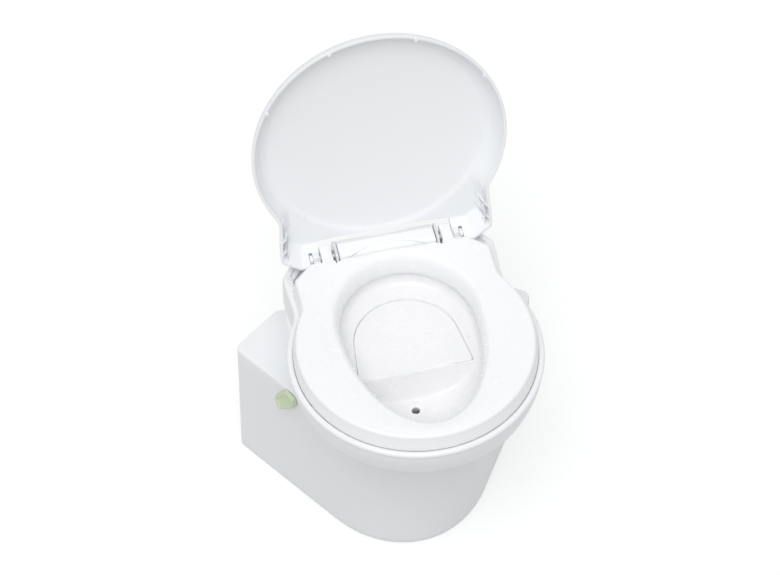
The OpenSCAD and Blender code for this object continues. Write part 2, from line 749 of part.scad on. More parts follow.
module tilt_lugs() both_sides() difference() {
    union() {
        x_rod(knuckle_r, tilt_x - 5, tilt_x + 5, tilt_y, tilt_z);
        x_plate([
            [neck_rear - 3, shoulder_z - 1], [rear_y, shoulder_z - 1], [tilt_y, tilt_z - knuckle_r + 2],
            [tilt_y, tilt_z + knuckle_r], [neck_rear - 3, shoulder_z + 12]
        ], tilt_x - 5, tilt_x + 5);
    }
    x_rod(tilt_pin_r + run_gap, tilt_x - 6, tilt_x + 6, tilt_y, tilt_z);
}

// ---- bowl ----

basin_p = [0, drain_y - 3];
basin_z = ledge_z - basin_depth;
basin_r = 15;

function basin_mouth(o) = [for (p = mouth(throat + o)) [p.x, min(p.y, crest_y + o)]];

module basin(o) hull() {
    prism(basin_mouth(o), ledge_z, ledge_z + 1);
    prism(basin_mouth(o - 4), ledge_z - 14, ledge_z - 13);
    translate([basin_p.x, basin_p.y, basin_z - o]) cylinder(r = basin_r + o, h = 1, $fn = small_n);
}

module bowl() color(white) difference() {
    union() {
        prism(mouth(bowl_in + flange_w), flange_z, flange_z + flange_t);
        hull() {
            prism(mouth(bowl_in + bowl_wall), flange_z, flange_z + 1);
            prism(mouth(throat + bowl_wall), ledge_z - bowl_wall - 1, ledge_z - bowl_wall);
        }
        basin(bowl_wall);
        prism(arch(bowl_wall), chute_z, ledge_z);
        translate([0, drain_y, basin_z - 18]) cylinder(r = drain_r + 3, h = 18, $fn = small_n);
        both_sides() x_rod(flap_pin_r + 3, arch_r + 1, pin_boss_x, flap_pivot_y, flap_pivot_z);
    }
    hull() {
        prism(mouth(bowl_in), flange_z + flange_t, flange_z + flange_t + 1);
        prism(mouth(throat), ledge_z, ledge_z + 1);
    }
    basin(0);
    prism(arch(0), chute_z - 1, ledge_z + 1);
    translate([0, drain_y, basin_z - 20]) cylinder(r = drain_r, h = 40, $fn = small_n);
    both_sides() x_rod(flap_pin_r + run_gap, arch_r - 4, pin_boss_x + 1, flap_pivot_y, flap_pivot_z);
}

pin_boss_x = 100;

module bowl_gasket() color(dark) difference() {
    prism(mouth(bowl_in + flange_w - 2), deck_z, deck_z + gasket_t);
    prism(mouth(bowl_in + bowl_wall + 3), deck_z - 1, deck_z + gasket_t + 1);
}

// ---- hinge ----

bridge_x = cheek_x - side_gap;
bridge_front = hinge_y - 32;
bridge_rear = hinge_y + 24;
bridge_arc = norm([bridge_x, hinge_y - 18]);
hollow_r = 156;
screw_p = [bridge_x - 12, hinge_y + 10];

module hinge_bridge() color(white) difference() {
    intersection() {
        box([-bridge_x, bridge_front, deck_z], [bridge_x, bridge_rear, seat_top + 1]);
        x_plate(rounded([
            [bridge_front, deck_z], [recess_y - still_gap, deck_z],
            [recess_y - still_gap, rim_z + still_gap], [bridge_rear - 2, rim_z + still_gap],
            [bridge_rear, seat_top - 8], [hinge_y + 10, seat_top + 1], [bridge_front, seat_top]
        ], [0, 0, 0, 0, 8, 6, 2]), -bridge_x, bridge_x);
    }
    nose_room();
    translate([0, 0, deck_z - 1]) cylinder(r = bridge_arc, h = 60, $fn = fine_n);
    translate([0, bridge_rear + hollow_r - 6, deck_z - 1]) cylinder(r = hollow_r, h = 60, $fn = fine_n);
    x_rod(rod_r + run_gap, -bridge_x - 1, bridge_x + 1, hinge_y, hinge_z);
    both_sides() translate([screw_p.x, screw_p.y, deck_z - 1])
        cylinder(r = screw_r, h = 12, $fn = small_n);
}

// Room above the bridge's front edge for the seat's rear edge, which turns about the hinge
nose_r = [hinge_y - seat_rear - 0.4, hinge_y - seat_rear + 1.2];
nose_x = [63, bridge_x + 1];

module nose_room() both_sides() for (i = [0, 1]) difference() {
    box([i == 0 ? -1 : nose_x[0], bridge_front - 1, hinge_z], [nose_x[i], hinge_y, seat_top + 2]);
    x_rod(nose_r[i], -2, nose_x[i] + 1, hinge_y, hinge_z);
}

cheek_front = hinge_y - 19;

module hinge_cheeks() color(pale) both_sides() difference() {
    x_plate(rounded([
        [cheek_front, deck_z], [recess_y - still_gap, deck_z],
        [recess_y - still_gap, rim_z + still_gap], [hinge_y + 22, rim_z + still_gap],
        [hinge_y + 22, seat_top - 6], [hinge_y + 10, seat_top + 3],
        [hinge_y - 10, seat_top + 3], [cheek_front, seat_top - 6]
    ], [0, 0, 0, 0, 6, 6, 6, 6]), cheek_x, cheek_x + cheek_t);
    x_rod(rod_r + run_gap, cheek_x - 1, cheek_x + cheek_t + 1, hinge_y, hinge_z);
}

module bridge_screws() color(steel) both_sides() translate([screw_p.x, screw_p.y, 0]) {
    translate([0, 0, deck_z - shell_wall - 2]) cylinder(r = 3, h = 2, $fn = small_n);
    translate([0, 0, deck_z - shell_wall]) cylinder(r = screw_r, h = shell_wall + 10, $fn = small_n);
}

// The rod that seat and lid turn on, with the levers that the seat presses down
module press_lever() color(steel) {
    x_rod(rod_r, -lever_x[1], lever_x[1], hinge_y, hinge_z);
    both_sides() x_plate(rounded([
        [lever_front, lever_z - lever_h], [hinge_y - 2, lever_z - lever_h],
        [hinge_y + lever_r, lever_z], [hinge_y + lever_r, hinge_z + lever_r],
        [hinge_y - lever_r, hinge_z + lever_r], [hinge_y - lever_r - 1, lever_z],
        [lever_front, lever_z]
    ], [3, 6, 2, 5, 5, 4, 3]), lever_x[0], lever_x[1]);
}

module lever_pads() color(dark) both_sides()
    box([lever_x[0], lever_front + 2, lever_z], [lever_x[1], lever_front + 18, seat_foot]);

module press_springs() color(steel) for (x = [-1, 1])
    translate([x * spring_x, spring_y, spring_z]) rotate_extrude($fn = small_n) polygon(concat(
        [[spring_r - 2, 0]],
        [for (i = [0:10]) [spring_r - (i % 2), (lever_z - lever_h - spring_z) * i / 10]],
        [[spring_r - 2, lever_z - lever_h - spring_z]]
    ));

// ---- seat ----

seat_ear_x = ear_x - 12.5;
seat_ear = rounded([
    [-seat_ear_x, 86], [seat_ear_x, 86], [seat_ear_x, seat_rear - 24], [seat_ear_x - 28, seat_rear],
    [seat_ear_x - 40, seat_rear], [-seat_ear_x + 40, seat_rear], [-seat_ear_x + 28, seat_rear],
    [-seat_ear_x, seat_rear - 24]
], [0, 0, 6, 8, 0, 0, 8, 6]);

seat_top_t = seat_wall;
mouth_n = 48;
roll_n = 6;
roll_h = 22;
roll_out = 8;
buffer_p = (seat_r - 15) * [cos(61.5), -sin(61.5)];
buffer_r = 6;

module seat_blank() {
    rotate_extrude($fn = fine_n) polygon(concat(
        [[0, seat_foot], [seat_r + seat_draft, seat_foot]],
        [for (a = [0:15:90])
            [seat_r - seat_edge_r + seat_edge_r * cos(a), seat_top - seat_edge_r + seat_edge_r * sin(a)]],
        [[0, seat_top]]
    ));
    prism(seat_ear, seat_foot, seat_top - 1);
    prism(inset(seat_ear, 1), seat_top - 2, seat_top);
}

// The hollow underside, with its stiffening ribs left standing
module seat_hollow() difference() {
    union() {
        translate([0, 0, seat_foot - 1])
            cylinder(r = seat_r - seat_wall, h = seat_h + 1 - seat_top_t, $fn = fine_n);
        prism(inset(seat_ear, seat_wall), seat_foot - 1.5, seat_top - seat_top_t);
    }
    prism(mouth(throat + mouth_roll + roll_out - 3, mouth_n), seat_foot - 2, seat_top);
    for (a = [195:30:345]) rotate([0, 0, a]) box([90, -1.5, seat_foot + 3], [seat_r, 1.5, seat_top]);
    both_sides() translate([buffer_p.x, buffer_p.y, seat_foot + 3])
        cylinder(r = buffer_r + 1.5, h = seat_h, $fn = small_n);
    both_sides() box([lever_x[0] - 3, lever_front + 1, seat_foot + still_gap],
                     [lever_x[1] + 2, lever_front + 19, seat_top]);
}

// The opening, which rolls in from the seat's top to the throat
module mouth_cut() skin(concat(
    [level(mouth(throat, mouth_n), lip_z - 1)],
    [for (i = [roll_n:-1:0]) let (q = 1 - i / roll_n)
        level(mouth(throat + mouth_roll * (1 - sin(90 * i / roll_n)) + roll_out * pow(q, 3), mouth_n),
              seat_top - roll_h * (1 - pow(q, 1.6)))],
    [level(mouth(throat + mouth_roll + roll_out, mouth_n), seat_top + 1)]
));

module seat() color(white) difference() {
    union() {
        difference() {
            seat_blank();
            seat_hollow();
            bridge_room();
        }
        prism(mouth(throat + lip_t, mouth_n), lip_z, seat_top - seat_top_t);
        both_sides() seat_lug_solid();
    }
    mouth_cut();
    both_sides() x_rod(rod_r + run_gap, seat_lug[0] - 1, seat_lug[1] + 1, hinge_y, hinge_z);
}

// Room for the bridge and its cheeks between the seat's lugs
module bridge_room() difference() {
    box([-seat_lug[0] + side_gap, hinge_y - 45, seat_foot - 5],
        [seat_lug[0] - side_gap, hinge_y + 35, seat_top + 1]);
    translate([0, 0, seat_foot - 7])
        cylinder(r = bridge_arc - side_gap, h = 60, $fn = fine_n);
}

module seat_lug_solid() difference() {
    x_plate(rounded([
        [seat_rear - 6, seat_foot + 2], [hinge_y + 8, seat_foot + 2], [hinge_y + 18, hinge_z],
        [hinge_y + 14, seat_top - 1], [seat_rear - 6, seat_top - 1]
    ], [0, 6, 6, 6, 0]), seat_lug[0], seat_lug[1]);
}

module seat_buffers() color(dark) both_sides() translate([buffer_p.x, buffer_p.y, seat_foot - 7])
    cylinder(r = buffer_r, h = 10, $fn = small_n);

// ---- flap and its drive ----

module view_flap() color(white) difference() {
    union() {
        prism(arch(-flap_gap), ledge_z - flap_t - 1, ledge_z - 1);
        both_sides() x_rod(flap_pin_r + 2, arch_r - 16, arch_r - 4, flap_pivot_y, flap_pivot_z);
        both_sides() box([arch_r - 16, flap_pivot_y - 5, flap_pivot_z],
                         [arch_r - 4, flap_pivot_y + 5, ledge_z - 2]);
    }
    both_sides() x_rod(flap_pin_r, arch_r - 17, arch_r - 3, flap_pivot_y, flap_pivot_z);
}

module flap_pins() color(steel) {
    x_rod(flap_pin_r, arch_r - 15, pin_boss_x + 2, flap_pivot_y, flap_pivot_z);
    mirror([1, 0, 0]) x_rod(flap_pin_r, arch_r - 15, pin_boss_x + 7, flap_pivot_y, flap_pivot_z);
}

module flap_crank() color(pale) difference() {
    union() {
        x_rod(7, -pin_boss_x - 6, -pin_boss_x - 1, flap_pivot_y, flap_pivot_z);
        x_rod(drive_r, -lever_x[1], -pin_boss_x - 5, flap_pivot_y + crank_r, flap_pivot_z);
    }
    x_rod(flap_pin_r, -pin_boss_x - 13, -pin_boss_x, flap_pivot_y, flap_pivot_z);
}

module push_rod() color(steel)
    translate([-lever_x[1], flap_pivot_y + crank_r, flap_pivot_z + drive_r + still_gap])
        cylinder(r = drive_r, h = lever_z - lever_h - flap_pivot_z - drive_r - 2 * still_gap,
                 $fn = small_n);

module urine_elbow() color(pale) difference() {
    translate([0, drain_y, basin_z - 30]) cylinder(r = drain_r + 5, h = 16, $fn = small_n);
    translate([0, drain_y, basin_z - 18]) cylinder(r = drain_r + 3, h = 5, $fn = small_n);
    translate([0, drain_y, basin_z - 31]) cylinder(r = drain_r, h = 16, $fn = small_n);
}

// A height between the shoulder and the basin, as a share of the way up
function hose_z(f) = shoulder_z + (basin_z - shoulder_z) * f;

urine_route = smooth([
    [0, drain_y, basin_z - 30], [0, drain_y, basin_z - 46], [-50, -44, hose_z(0.505)],
    [-104, -6, hose_z(0.485)], [-122, 60, hose_z(0.445)], [-124, 140, hose_z(0.365)],
    [receiver_p.x, 205, hose_z(0.3)], [receiver_p.x, receiver_p.y, hose_z(0.16)],
    [receiver_p.x, receiver_p.y, receiver_top + 3]
], 2);

module urine_hose() color(grey) bent_tube(urine_route, hose_r);

clip_yz = [[60, hose_z(0.445)], [140, hose_z(0.365)]];

// Clips that hold the hose to the inside of the shell
module hose_clips() color(pale) difference() {
    intersection() {
        for (c = clip_yz) translate([-120, c.x, c.y]) box([-30, -4, -11], [12, 4, 11]);
        neck_solid(shell_wall);
    }
    urine_hose();
}

// ---- lid ----

module opened() translate([0, hinge_y, hinge_z]) rotate([-lid_open, 0, 0])
    translate([0, -hinge_y, -hinge_z]) children();

lid_rear = hinge_y + 7;
dish_fillet = 12;

// Half section of the lid's outside and of its dish
function lid_outside() = concat(
    [[0, land_z], [lid_r, land_z]],
    [for (a = [0:15:90]) [lid_r - 10 + 9 * cos(a), lid_top - 9 + 9 * sin(a)]],
    [for (i = [1:8]) let (r = (lid_r - 10) * (1 - i / 8))
        [r, lid_top + lid_crown * (1 - pow(r / (lid_r - 10), 2))]]
);
function lid_inside() = let (r = lid_r - lid_land, z = land_z + lid_depth) concat(
    [[0, land_z - 1], [r, land_z - 1], [r, land_z]],
    [for (a = [0:18:90]) [r - 3, z] - dish_fillet * [1 - cos(a), 1 - sin(a)]],
    [for (i = [1:8]) let (q = (r - 3 - dish_fillet) * (1 - i / 8))
        [q, z + lid_crown * (1 - pow(q / (r - 3 - dish_fillet), 2))]]
);

module lid() color(white) opened() difference() {
    union() {
        difference() {
            union() {
                rotate_extrude($fn = fine_n) polygon(lid_outside());
                prism(ears(lid_rear, 0), land_z, lid_top - 3);
                prism(inset(ears(lid_rear, 0), 2), lid_top - 4, lid_top);
            }
            rotate_extrude($fn = fine_n) polygon(lid_inside());
            prism(ears(lid_rear, -lid_wall - 2), land_z - 1, land_z + lid_depth);
        }
        both_sides() intersection() {
            prism(ears(lid_rear, -1), land_z, lid_top - 1);
            box([lid_lug[0], hinge_y - 11, hinge_z - 8], [lid_lug[1], hinge_y + 20, lid_top - 1]);
        }
    }
    box([-notch_x, notch_y, land_z - 2], [notch_x, lid_rear + 20, lid_top + 20]);
    box([-seat_lug[1] - side_gap, hinge_y - 20, land_z - 2],
        [seat_lug[1] + side_gap, lid_rear + 20, lid_top + 20]);
    both_sides() x_rod(rod_r + run_gap, lid_lug[0] - 1, lid_lug[1] + 1, hinge_y, hinge_z);
    both_sides() box([lever_x[0] - side_gap, hinge_y - lever_r - 2 * side_gap, land_z - 2],
                     [lever_x[1] + side_gap, lid_rear + 20, hinge_z + lever_r + 3.5]);
}

module lid_buffers() color(dark) opened() for (a = [210, 250, 290, 330]) rotate([0, 0, a])
    translate([lid_r - lid_land / 2, 0, rim_z + still_gap])
        cylinder(r = 2.5, h = land_z - rim_z - still_gap, $fn = small_n);

base_tub();
turntable_post();
fan_frame();
fan_grille();
vent_spigot();
vent_gasket();
drain_receiver();
drain_hose();
drain_outlet();
tilt_brackets();
tilt_pins();
fan_socket();
turntable();
container();
container_handle();
fan_rotor();
latch_knob_left();
latch_cam_left();
latch_screw_left();
latch_knob_right();
latch_cam_right();
latch_screw_right();
upper_shell();
latch_hooks();
bowl();
bowl_gasket();
hinge_bridge();
hinge_cheeks();
bridge_screws();
urine_elbow();
urine_hose();
hose_clips();
press_springs();
press_lever();
lever_pads();
seat();
seat_buffers();
view_flap();
flap_pins();
flap_crank();
push_rod();
lid();
lid_buffers();
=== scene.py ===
# %% [markdown]
# # A composting toilet in white moulded plastic
#
# The real object is a set of large plastic mouldings: a base tub, an upper shell with a rim, a bowl
# with two outlets, a seat and a lid. Each one is a thin skin with a soft edge all round, so the
# render stands or falls by smooth forms, small roundings and quiet, even shading.
#
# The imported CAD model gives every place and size. Here each moulding is built again as a fine mesh,
# and the small hidden parts keep their CAD solids and get a better finish.

import json
import math

import bmesh
import bpy
import numpy as np
from mathutils import Matrix, Vector


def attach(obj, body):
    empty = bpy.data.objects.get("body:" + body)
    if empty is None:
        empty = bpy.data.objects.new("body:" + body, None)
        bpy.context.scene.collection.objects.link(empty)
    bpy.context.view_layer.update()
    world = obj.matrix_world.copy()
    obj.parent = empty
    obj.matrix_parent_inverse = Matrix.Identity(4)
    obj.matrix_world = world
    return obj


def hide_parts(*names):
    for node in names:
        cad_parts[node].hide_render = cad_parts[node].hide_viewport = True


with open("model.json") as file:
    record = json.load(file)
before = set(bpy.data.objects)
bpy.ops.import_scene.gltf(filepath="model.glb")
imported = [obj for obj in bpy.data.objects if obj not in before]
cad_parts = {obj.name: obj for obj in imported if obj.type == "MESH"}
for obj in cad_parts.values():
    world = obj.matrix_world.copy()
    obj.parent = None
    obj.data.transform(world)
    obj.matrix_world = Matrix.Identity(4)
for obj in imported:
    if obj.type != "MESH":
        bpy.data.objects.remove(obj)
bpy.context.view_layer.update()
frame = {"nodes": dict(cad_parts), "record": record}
nodes = frame["nodes"]
MM = 0.001

# %% [markdown]
# ## The camera
#
# A camera can be placed by eye, or worked out from the picture. Here it was worked out: a long lens
# far away, because the round rim shows as an almost perfect ellipse. It looks down by 51.5 degrees
# from the front and a little from the left.

# %% Camera
CAMERA_TURN = 12.89
CAMERA_DOWN = 51.55
CAMERA_ROLL = -0.26
CAMERA_FAR = 6854.23
CAMERA_AIM = Vector((0, 160.98, 362.71))
SENSOR = 36
LENS = 4760.71 * SENSOR / 780  # from a focal length in pixels, in a picture 780 pixels wide


def link(name, data):
    obj = bpy.data.objects.new(name, data)
    bpy.context.scene.collection.objects.link(obj)
    return obj


def place_camera():
    turn, down, roll = (math.radians(a) for a in (CAMERA_TURN, CAMERA_DOWN, CAMERA_ROLL))
    back = Vector((-math.sin(turn) * math.cos(down), -math.cos(turn) * math.cos(down), math.sin(down)))
    right = (-back).cross(Vector((0, 0, 1))).normalized()
    up = right.cross(-back)
    data = bpy.data.cameras.new("camera")
    data.lens = LENS
    data.sensor_width = SENSOR
    data.clip_start, data.clip_end = 0.5, 60
    camera = link("camera", data)
    side = right * math.cos(roll) + up * math.sin(roll)
    top = up * math.cos(roll) - right * math.sin(roll)
    camera.matrix_world = Matrix((side, top, back)).transposed().to_4x4()
    camera.location = (CAMERA_AIM + back * CAMERA_FAR) * MM
    bpy.context.scene.camera = camera
    return camera


camera = place_camera()
print("camera at", [round(v, 2) for v in camera.location])

# %% [markdown]
# ## Outlines as fields
#
# Seat, rim and lid all have the same kind of outline: a circle with two ears at the back. It could be
# drawn point by point. A field is easier: a function that gives each point's distance to the edge.
# Two fields join with a soft corner, and an edge moved in by 5 mm is simply where the field is -5.

# %% Fields


def disc(radius):
    return lambda p: np.hypot(p[:, 0], p[:, 1]) - radius


def edges(corners):
    a = np.array(corners, float)
    return a, np.roll(a, -1, axis=0)


def shrunk(corners, by):
    """A convex anticlockwise outline with each side moved in."""
    a, b = edges(corners)
    along = (b - a) / np.linalg.norm(b - a, axis=1)[:, None]
    inward = np.stack([-along[:, 1], along[:, 0]], 1)
    sides = inward * by + a
    points = []
    for i in range(len(a)):
        j = i - 1
        step = np.linalg.solve(np.stack([along[j], -along[i]], 1), sides[i] - sides[j])
        points.append(sides[j] + along[j] * step[0])
    return points


def slab(corners, rounding):
    """A convex outline with rounded corners, as a field."""
    a, b = edges(shrunk(corners, rounding))

    def field(p):
        to = p[:, None, :] - a[None]
        run = (b - a)[None]
        t = np.clip((to * run).sum(2) / (run * run).sum(2), 0, 1)
        far = np.linalg.norm(to - run * t[..., None], axis=2).min(1)
        outside = (run[..., 0] * to[..., 1] - run[..., 1] * to[..., 0] < 0).any(1)
        return np.where(outside, far, -far) - rounding

    return field


def soft_min(one, two, soft):
    """The lower of two values, with a rounded crease between them."""
    h = np.maximum(soft - np.abs(one - two), 0) / soft
    return np.minimum(one, two) - h * h * soft / 4


def joined(one, two, soft):
    """Both shapes together, with a fillet of about the size soft in the inner corner."""
    return lambda p: soft_min(one(p), two(p), soft)


print("40 mm disc's field at its middle:", disc(40)(np.zeros((1, 2)))[0])

# %% [markdown]
# A field is traced to get its shape: rays go out from a middle point, and halving finds the edge on
# each. The rays can be spaced so that the points lie evenly along the outline.

# %% Tracing an outline
OUTSIDE = 420.0  # mm, further out than any outline
HALVINGS = 38


def trace(field, inset, angles, middle=(0, 0)):
    """The points on rays from the middle where the field is -inset."""
    ray = np.stack([np.cos(angles), np.sin(angles)], 1)
    low, high = np.zeros(len(angles)), np.full(len(angles), OUTSIDE)
    for _ in range(HALVINGS):
        half = (low + high) / 2
        inside = field(np.array(middle) + ray * half[:, None]) < -inset
        low, high = np.where(inside, half, low), np.where(inside, high, half)
    return np.array(middle) + ray * low[:, None]


def even_angles(count, middle, *fields):
    """Ray angles that space the points evenly along these outlines, on average."""
    fine = np.linspace(0, 2 * np.pi, 2881)
    length = np.zeros(len(fine))
    for field in fields:
        p = trace(field, 0, fine, middle)
        step = np.linalg.norm(np.diff(p, axis=0), axis=1)
        length[1:] += np.cumsum(step) / step.sum() / len(fields)
    return np.interp(np.arange(count) / count, length, fine)


def smooth_step(x):
    """Rises from 0 to 1 with level ends."""
    x = np.clip(x, 0, 1)
    return x * x * (3 - 2 * x)


def at(points, z):
    """Plane points, lifted to one height or to a height of their own."""
    z = np.broadcast_to(np.asarray(z, float), (len(points),))
    return np.column_stack([points, z])


print("traced to within", OUTSIDE / 2**HALVINGS, "mm")


# %% [markdown]
# ## From rings to a skin
#
# A moulding is a stack of rings, each with the same number of points. Joining every ring to the next
# gives clean quads that shade smoothly, with no modifier needed. Where the last ring meets the first
# one, the skin is closed like a real wall with two sides.

# %% Skins
EDGE_ANGLE = math.radians(38)  # edges that turn by more stay sharp
WELD = 0.02 * MM


def placed(name, mesh, finish=None):
    mesh.shade_smooth()
    mesh.set_sharp_from_angle(angle=EDGE_ANGLE)
    obj = link(name, mesh)
    if finish:
        mesh.materials.append(finish)
    return obj


def keep_mesh(name, points, faces, finish=None):
    """A mesh from points in mm, welded, with its faces turned outwards."""
    mesh = bpy.data.meshes.new(name)
    mesh.from_pydata((np.asarray(points) * MM).tolist(), [], faces)
    build = bmesh.new()
    build.from_mesh(mesh)
    bmesh.ops.remove_doubles(build, verts=build.verts, dist=WELD)
    bmesh.ops.dissolve_degenerate(build, edges=build.edges, dist=WELD)
    bmesh.ops.recalc_face_normals(build, faces=build.faces)
    build.to_mesh(mesh)
    build.free()
    return placed(name, mesh, finish)


def ring_faces(sides, count, closed, first=0):
    faces = []
    for j in range(count if closed else count - 1):
        a, b = first + j * sides, first + (j + 1) % count * sides
        faces += [(a + i, a + (i + 1) % sides, b + (i + 1) % sides, b + i) for i in range(sides)]
    return faces


def skin(name, rings, finish=None, ends="joined"):
    """A skin over rings of points, in mm. Its ends are joined to each other, capped or left open."""
    rings = [np.asarray(r, float) for r in rings]
    sides, count = len(rings[0]), len(rings)
    points = np.concatenate(rings)
    faces = ring_faces(sides, count, ends == "joined")
    for at_ring in (0, count - 1) if ends == "capped" else ():
        points = np.vstack([points, rings[at_ring].mean(0)])
        hub, a = len(points) - 1, at_ring * sides
        faces += [(a + i, a + (i + 1) % sides, hub) for i in range(sides)]
    return keep_mesh(name, points, faces, finish)


def merged(name, parts, finish):
    """One mesh of several stacks of rings, each of them open."""
    points, faces, first = [], [], 0
    for rings in parts:
        points += rings
        faces += ring_faces(len(rings[0]), len(rings), False, first)
        first += len(rings[0]) * len(rings)
    return keep_mesh(name, np.concatenate(points), faces, finish)


def arc(radius, start, end, steps):
    """Points of a quarter or other arc as (x, y) offsets, angles in degrees."""
    a = np.radians(np.linspace(start, end, steps + 1))
    return np.stack([radius * np.cos(a), radius * np.sin(a)], 1)


print("faces between two rings of four points:", len(ring_faces(4, 2, False)))


# %% [markdown]
# ## Colours
#
# Colours are written as they look on a screen, in sRGB hex. Blender's shaders count in linear light,
# so one function turns each hex value into linear numbers.

# %% Colour and node helpers


def colour(hex_value):
    channels = [int(hex_value[i : i + 2], 16) / 255 for i in (1, 3, 5)]
    return (*[c / 12.92 if c <= 0.04045 else ((c + 0.055) / 1.055) ** 2.4 for c in channels], 1)


def node(tree, kind, links=None, **settings):
    """Adds one shader node. Settings are its properties and sockets, and links feed its sockets."""
    made = tree.nodes.new("ShaderNode" + kind)
    for key, value in settings.items():
        if key.startswith("in_"):
            name = key[3:].replace("_", " ")
            socket = made.inputs[int(name)] if name.isdigit() else made.inputs[name]
            socket.default_value = value
        else:
            setattr(made, key, value)
    for name, source in (links or {}).items():
        tree.links.new(source, made.inputs[name])
    return made


def material(name):
    made = bpy.data.materials.new(name)
    made.use_nodes = True
    tree = made.node_tree
    tree.nodes.clear()
    return made, tree, node(tree, "OutputMaterial")


print("mid grey #808080 in linear light:", round(colour("#808080")[0], 3))


# %% [markdown]
# ## Moulded plastics
#
# The shell is ABS sheet and the seat is injection-moulded polypropylene. Both are white, with a
# faint mottle where the plastic cooled unevenly, and a gloss that is broken up by a very fine
# orange-peel. Real peel is about 1 mm across and a few thousandths deep. Fine rubbing shows as
# patches that are a little less shiny.

# %% A plastic of any colour
MOTTLE_MM = 60
RUB_MM = 22


def plastic(name, hex_value, shade_hex, rough, rubbed, peel, peel_mm=1.6, coat=0.0, speck=0.0):
    made, tree, end = material(name)
    place = node(tree, "TexCoord").outputs["Object"]
    mottle = node(tree, "TexNoise", {"Vector": place}, in_Scale=1 / (MOTTLE_MM * MM), in_Detail=3.0)
    mix = node(
        tree, "Mix", {"Factor": mottle.outputs["Fac"]},
        data_type="RGBA", in_6=colour(hex_value), in_7=colour(shade_hex),
    )
    rub = node(
        tree, "TexNoise", {"Vector": place}, in_Scale=1 / (RUB_MM * MM), in_Detail=2.0, in_Roughness=0.45
    )
    gloss = node(
        tree, "MapRange", {"Value": rub.outputs["Fac"]},
        in_From_Min=0.35, in_From_Max=0.75, in_To_Min=rough, in_To_Max=rubbed,
    )
    skin_noise = node(
        tree, "TexNoise", {"Vector": place},
        in_Scale=1 / (peel_mm * MM), in_Detail=2.0, in_Roughness=0.5 + speck,
    )
    bump = node(tree, "Bump", {"Height": skin_noise.outputs["Fac"]}, in_Strength=peel, in_Distance=0.2 * MM)
    shader = node(
        tree, "BsdfPrincipled",
        {"Base Color": mix.outputs["Result"], "Roughness": gloss.outputs["Result"],
         "Normal": bump.outputs["Normal"]},
        in_IOR=1.49, in_Coat_Weight=coat, in_Coat_Roughness=0.08,
    )
    tree.links.new(shader.outputs["BSDF"], end.inputs["Surface"])
    return made


# %% [markdown]
# The white mouldings are new and evenly glossy, so their two roughness values are close and their
# peel is faint. Knob, bin and rubber have a deeper grain, and the acetal cheeks shine most.

# %% The plastics
abs_shell = plastic("abs_sheet_white", "#EEF0F2", "#EDEFF1", 0.3, 0.33, peel_mm=2.2, peel=0.015)
seat_white = plastic("moulded_polypropylene_white", "#F4F5F6", "#F3F4F5", 0.26, 0.28, peel=0.005, coat=0.1)
lid_white = plastic("moulded_polypropylene_lid", "#EFF1F3", "#EEF0F2", 0.3, 0.33, peel=0.01, coat=0.1)
bowl_white = plastic("moulded_bowl_white", "#F3F3F4", "#F2F2F4", 0.27, 0.3, peel=0.005, coat=0.1)
knob_green = plastic(
    "moulded_sage_plastic", "#CFD9BB", "#C9D4B4", 0.42, 0.5, peel_mm=0.9, peel=0.22, speck=0.2
)
hinge_grey = plastic("hinge_acetal_gloss", "#DDE1E4", "#D6DADE", 0.12, 0.2, peel=0.02, coat=0.4)
inner_plastic = plastic("moulded_inner_plastic", "#DDE0E2", "#D5D9DC", 0.4, 0.52, peel=0.15)
bin_plastic = plastic(
    "rotomoulded_polyethylene", "#6B706C", "#5F6561", 0.5, 0.62, peel_mm=1.4, peel=0.3, speck=0.2
)
fan_plastic = plastic("fan_black_plastic", "#24262A", "#1C1E22", 0.38, 0.5, peel_mm=0.8, peel=0.2)
hose_grey = plastic("hose_vinyl_grey", "#A9AEB2", "#9CA2A7", 0.34, 0.46, peel_mm=1.2, peel=0.12)
rubber_black = plastic("rubber_black", "#2A2B2D", "#222325", 0.6, 0.72, peel_mm=0.7, peel=0.3, speck=0.2)
print("plastics:", len(bpy.data.materials))

# %% [markdown]
# ## Steel
#
# The pins, screws, springs, the push rod and the container's handle are drawn stainless steel.
# Drawing leaves fine lines about 0.1 mm apart, which are drawn here 0.6 mm apart so that they show.
# They change the roughness and the bump, not the colour.

# %% Drawn stainless steel
LINE_LONG = 20 * MM
LINE_WIDE = 0.6 * MM


def drawn_steel():
    made, tree, end = material("drawn_stainless_steel")
    place = node(tree, "TexCoord").outputs["Object"]
    stretch = node(tree, "Mapping", {"Vector": place}, in_Scale=(1 / LINE_LONG, 1 / LINE_WIDE, 1 / LINE_WIDE))
    lines = node(tree, "TexNoise", {"Vector": stretch.outputs["Vector"]}, in_Scale=1.0, in_Detail=3.0)
    gloss = node(
        tree, "MapRange", {"Value": lines.outputs["Fac"]},
        in_From_Min=0.3, in_From_Max=0.7, in_To_Min=0.22, in_To_Max=0.38,
    )
    bump = node(tree, "Bump", {"Height": lines.outputs["Fac"]}, in_Strength=0.12, in_Distance=0.05 * MM)
    shader = node(
        tree, "BsdfPrincipled",
        {"Roughness": gloss.outputs["Result"], "Normal": bump.outputs["Normal"]},
        in_Base_Color=colour("#C4C7CB"), in_Metallic=1.0,
    )
    tree.links.new(shader.outputs["BSDF"], end.inputs["Surface"])
    return made


steel = drawn_steel()
print("steel nodes:", len(steel.node_tree.nodes))

# %% [markdown]
# ## Finishes for the parts that keep their CAD solids
#
# The hidden and small parts already have the right shape. Each gets the finish of what it is made of.
# Two of them are white: the lever is steel with a white coat, and the lid's buffers match the lid.

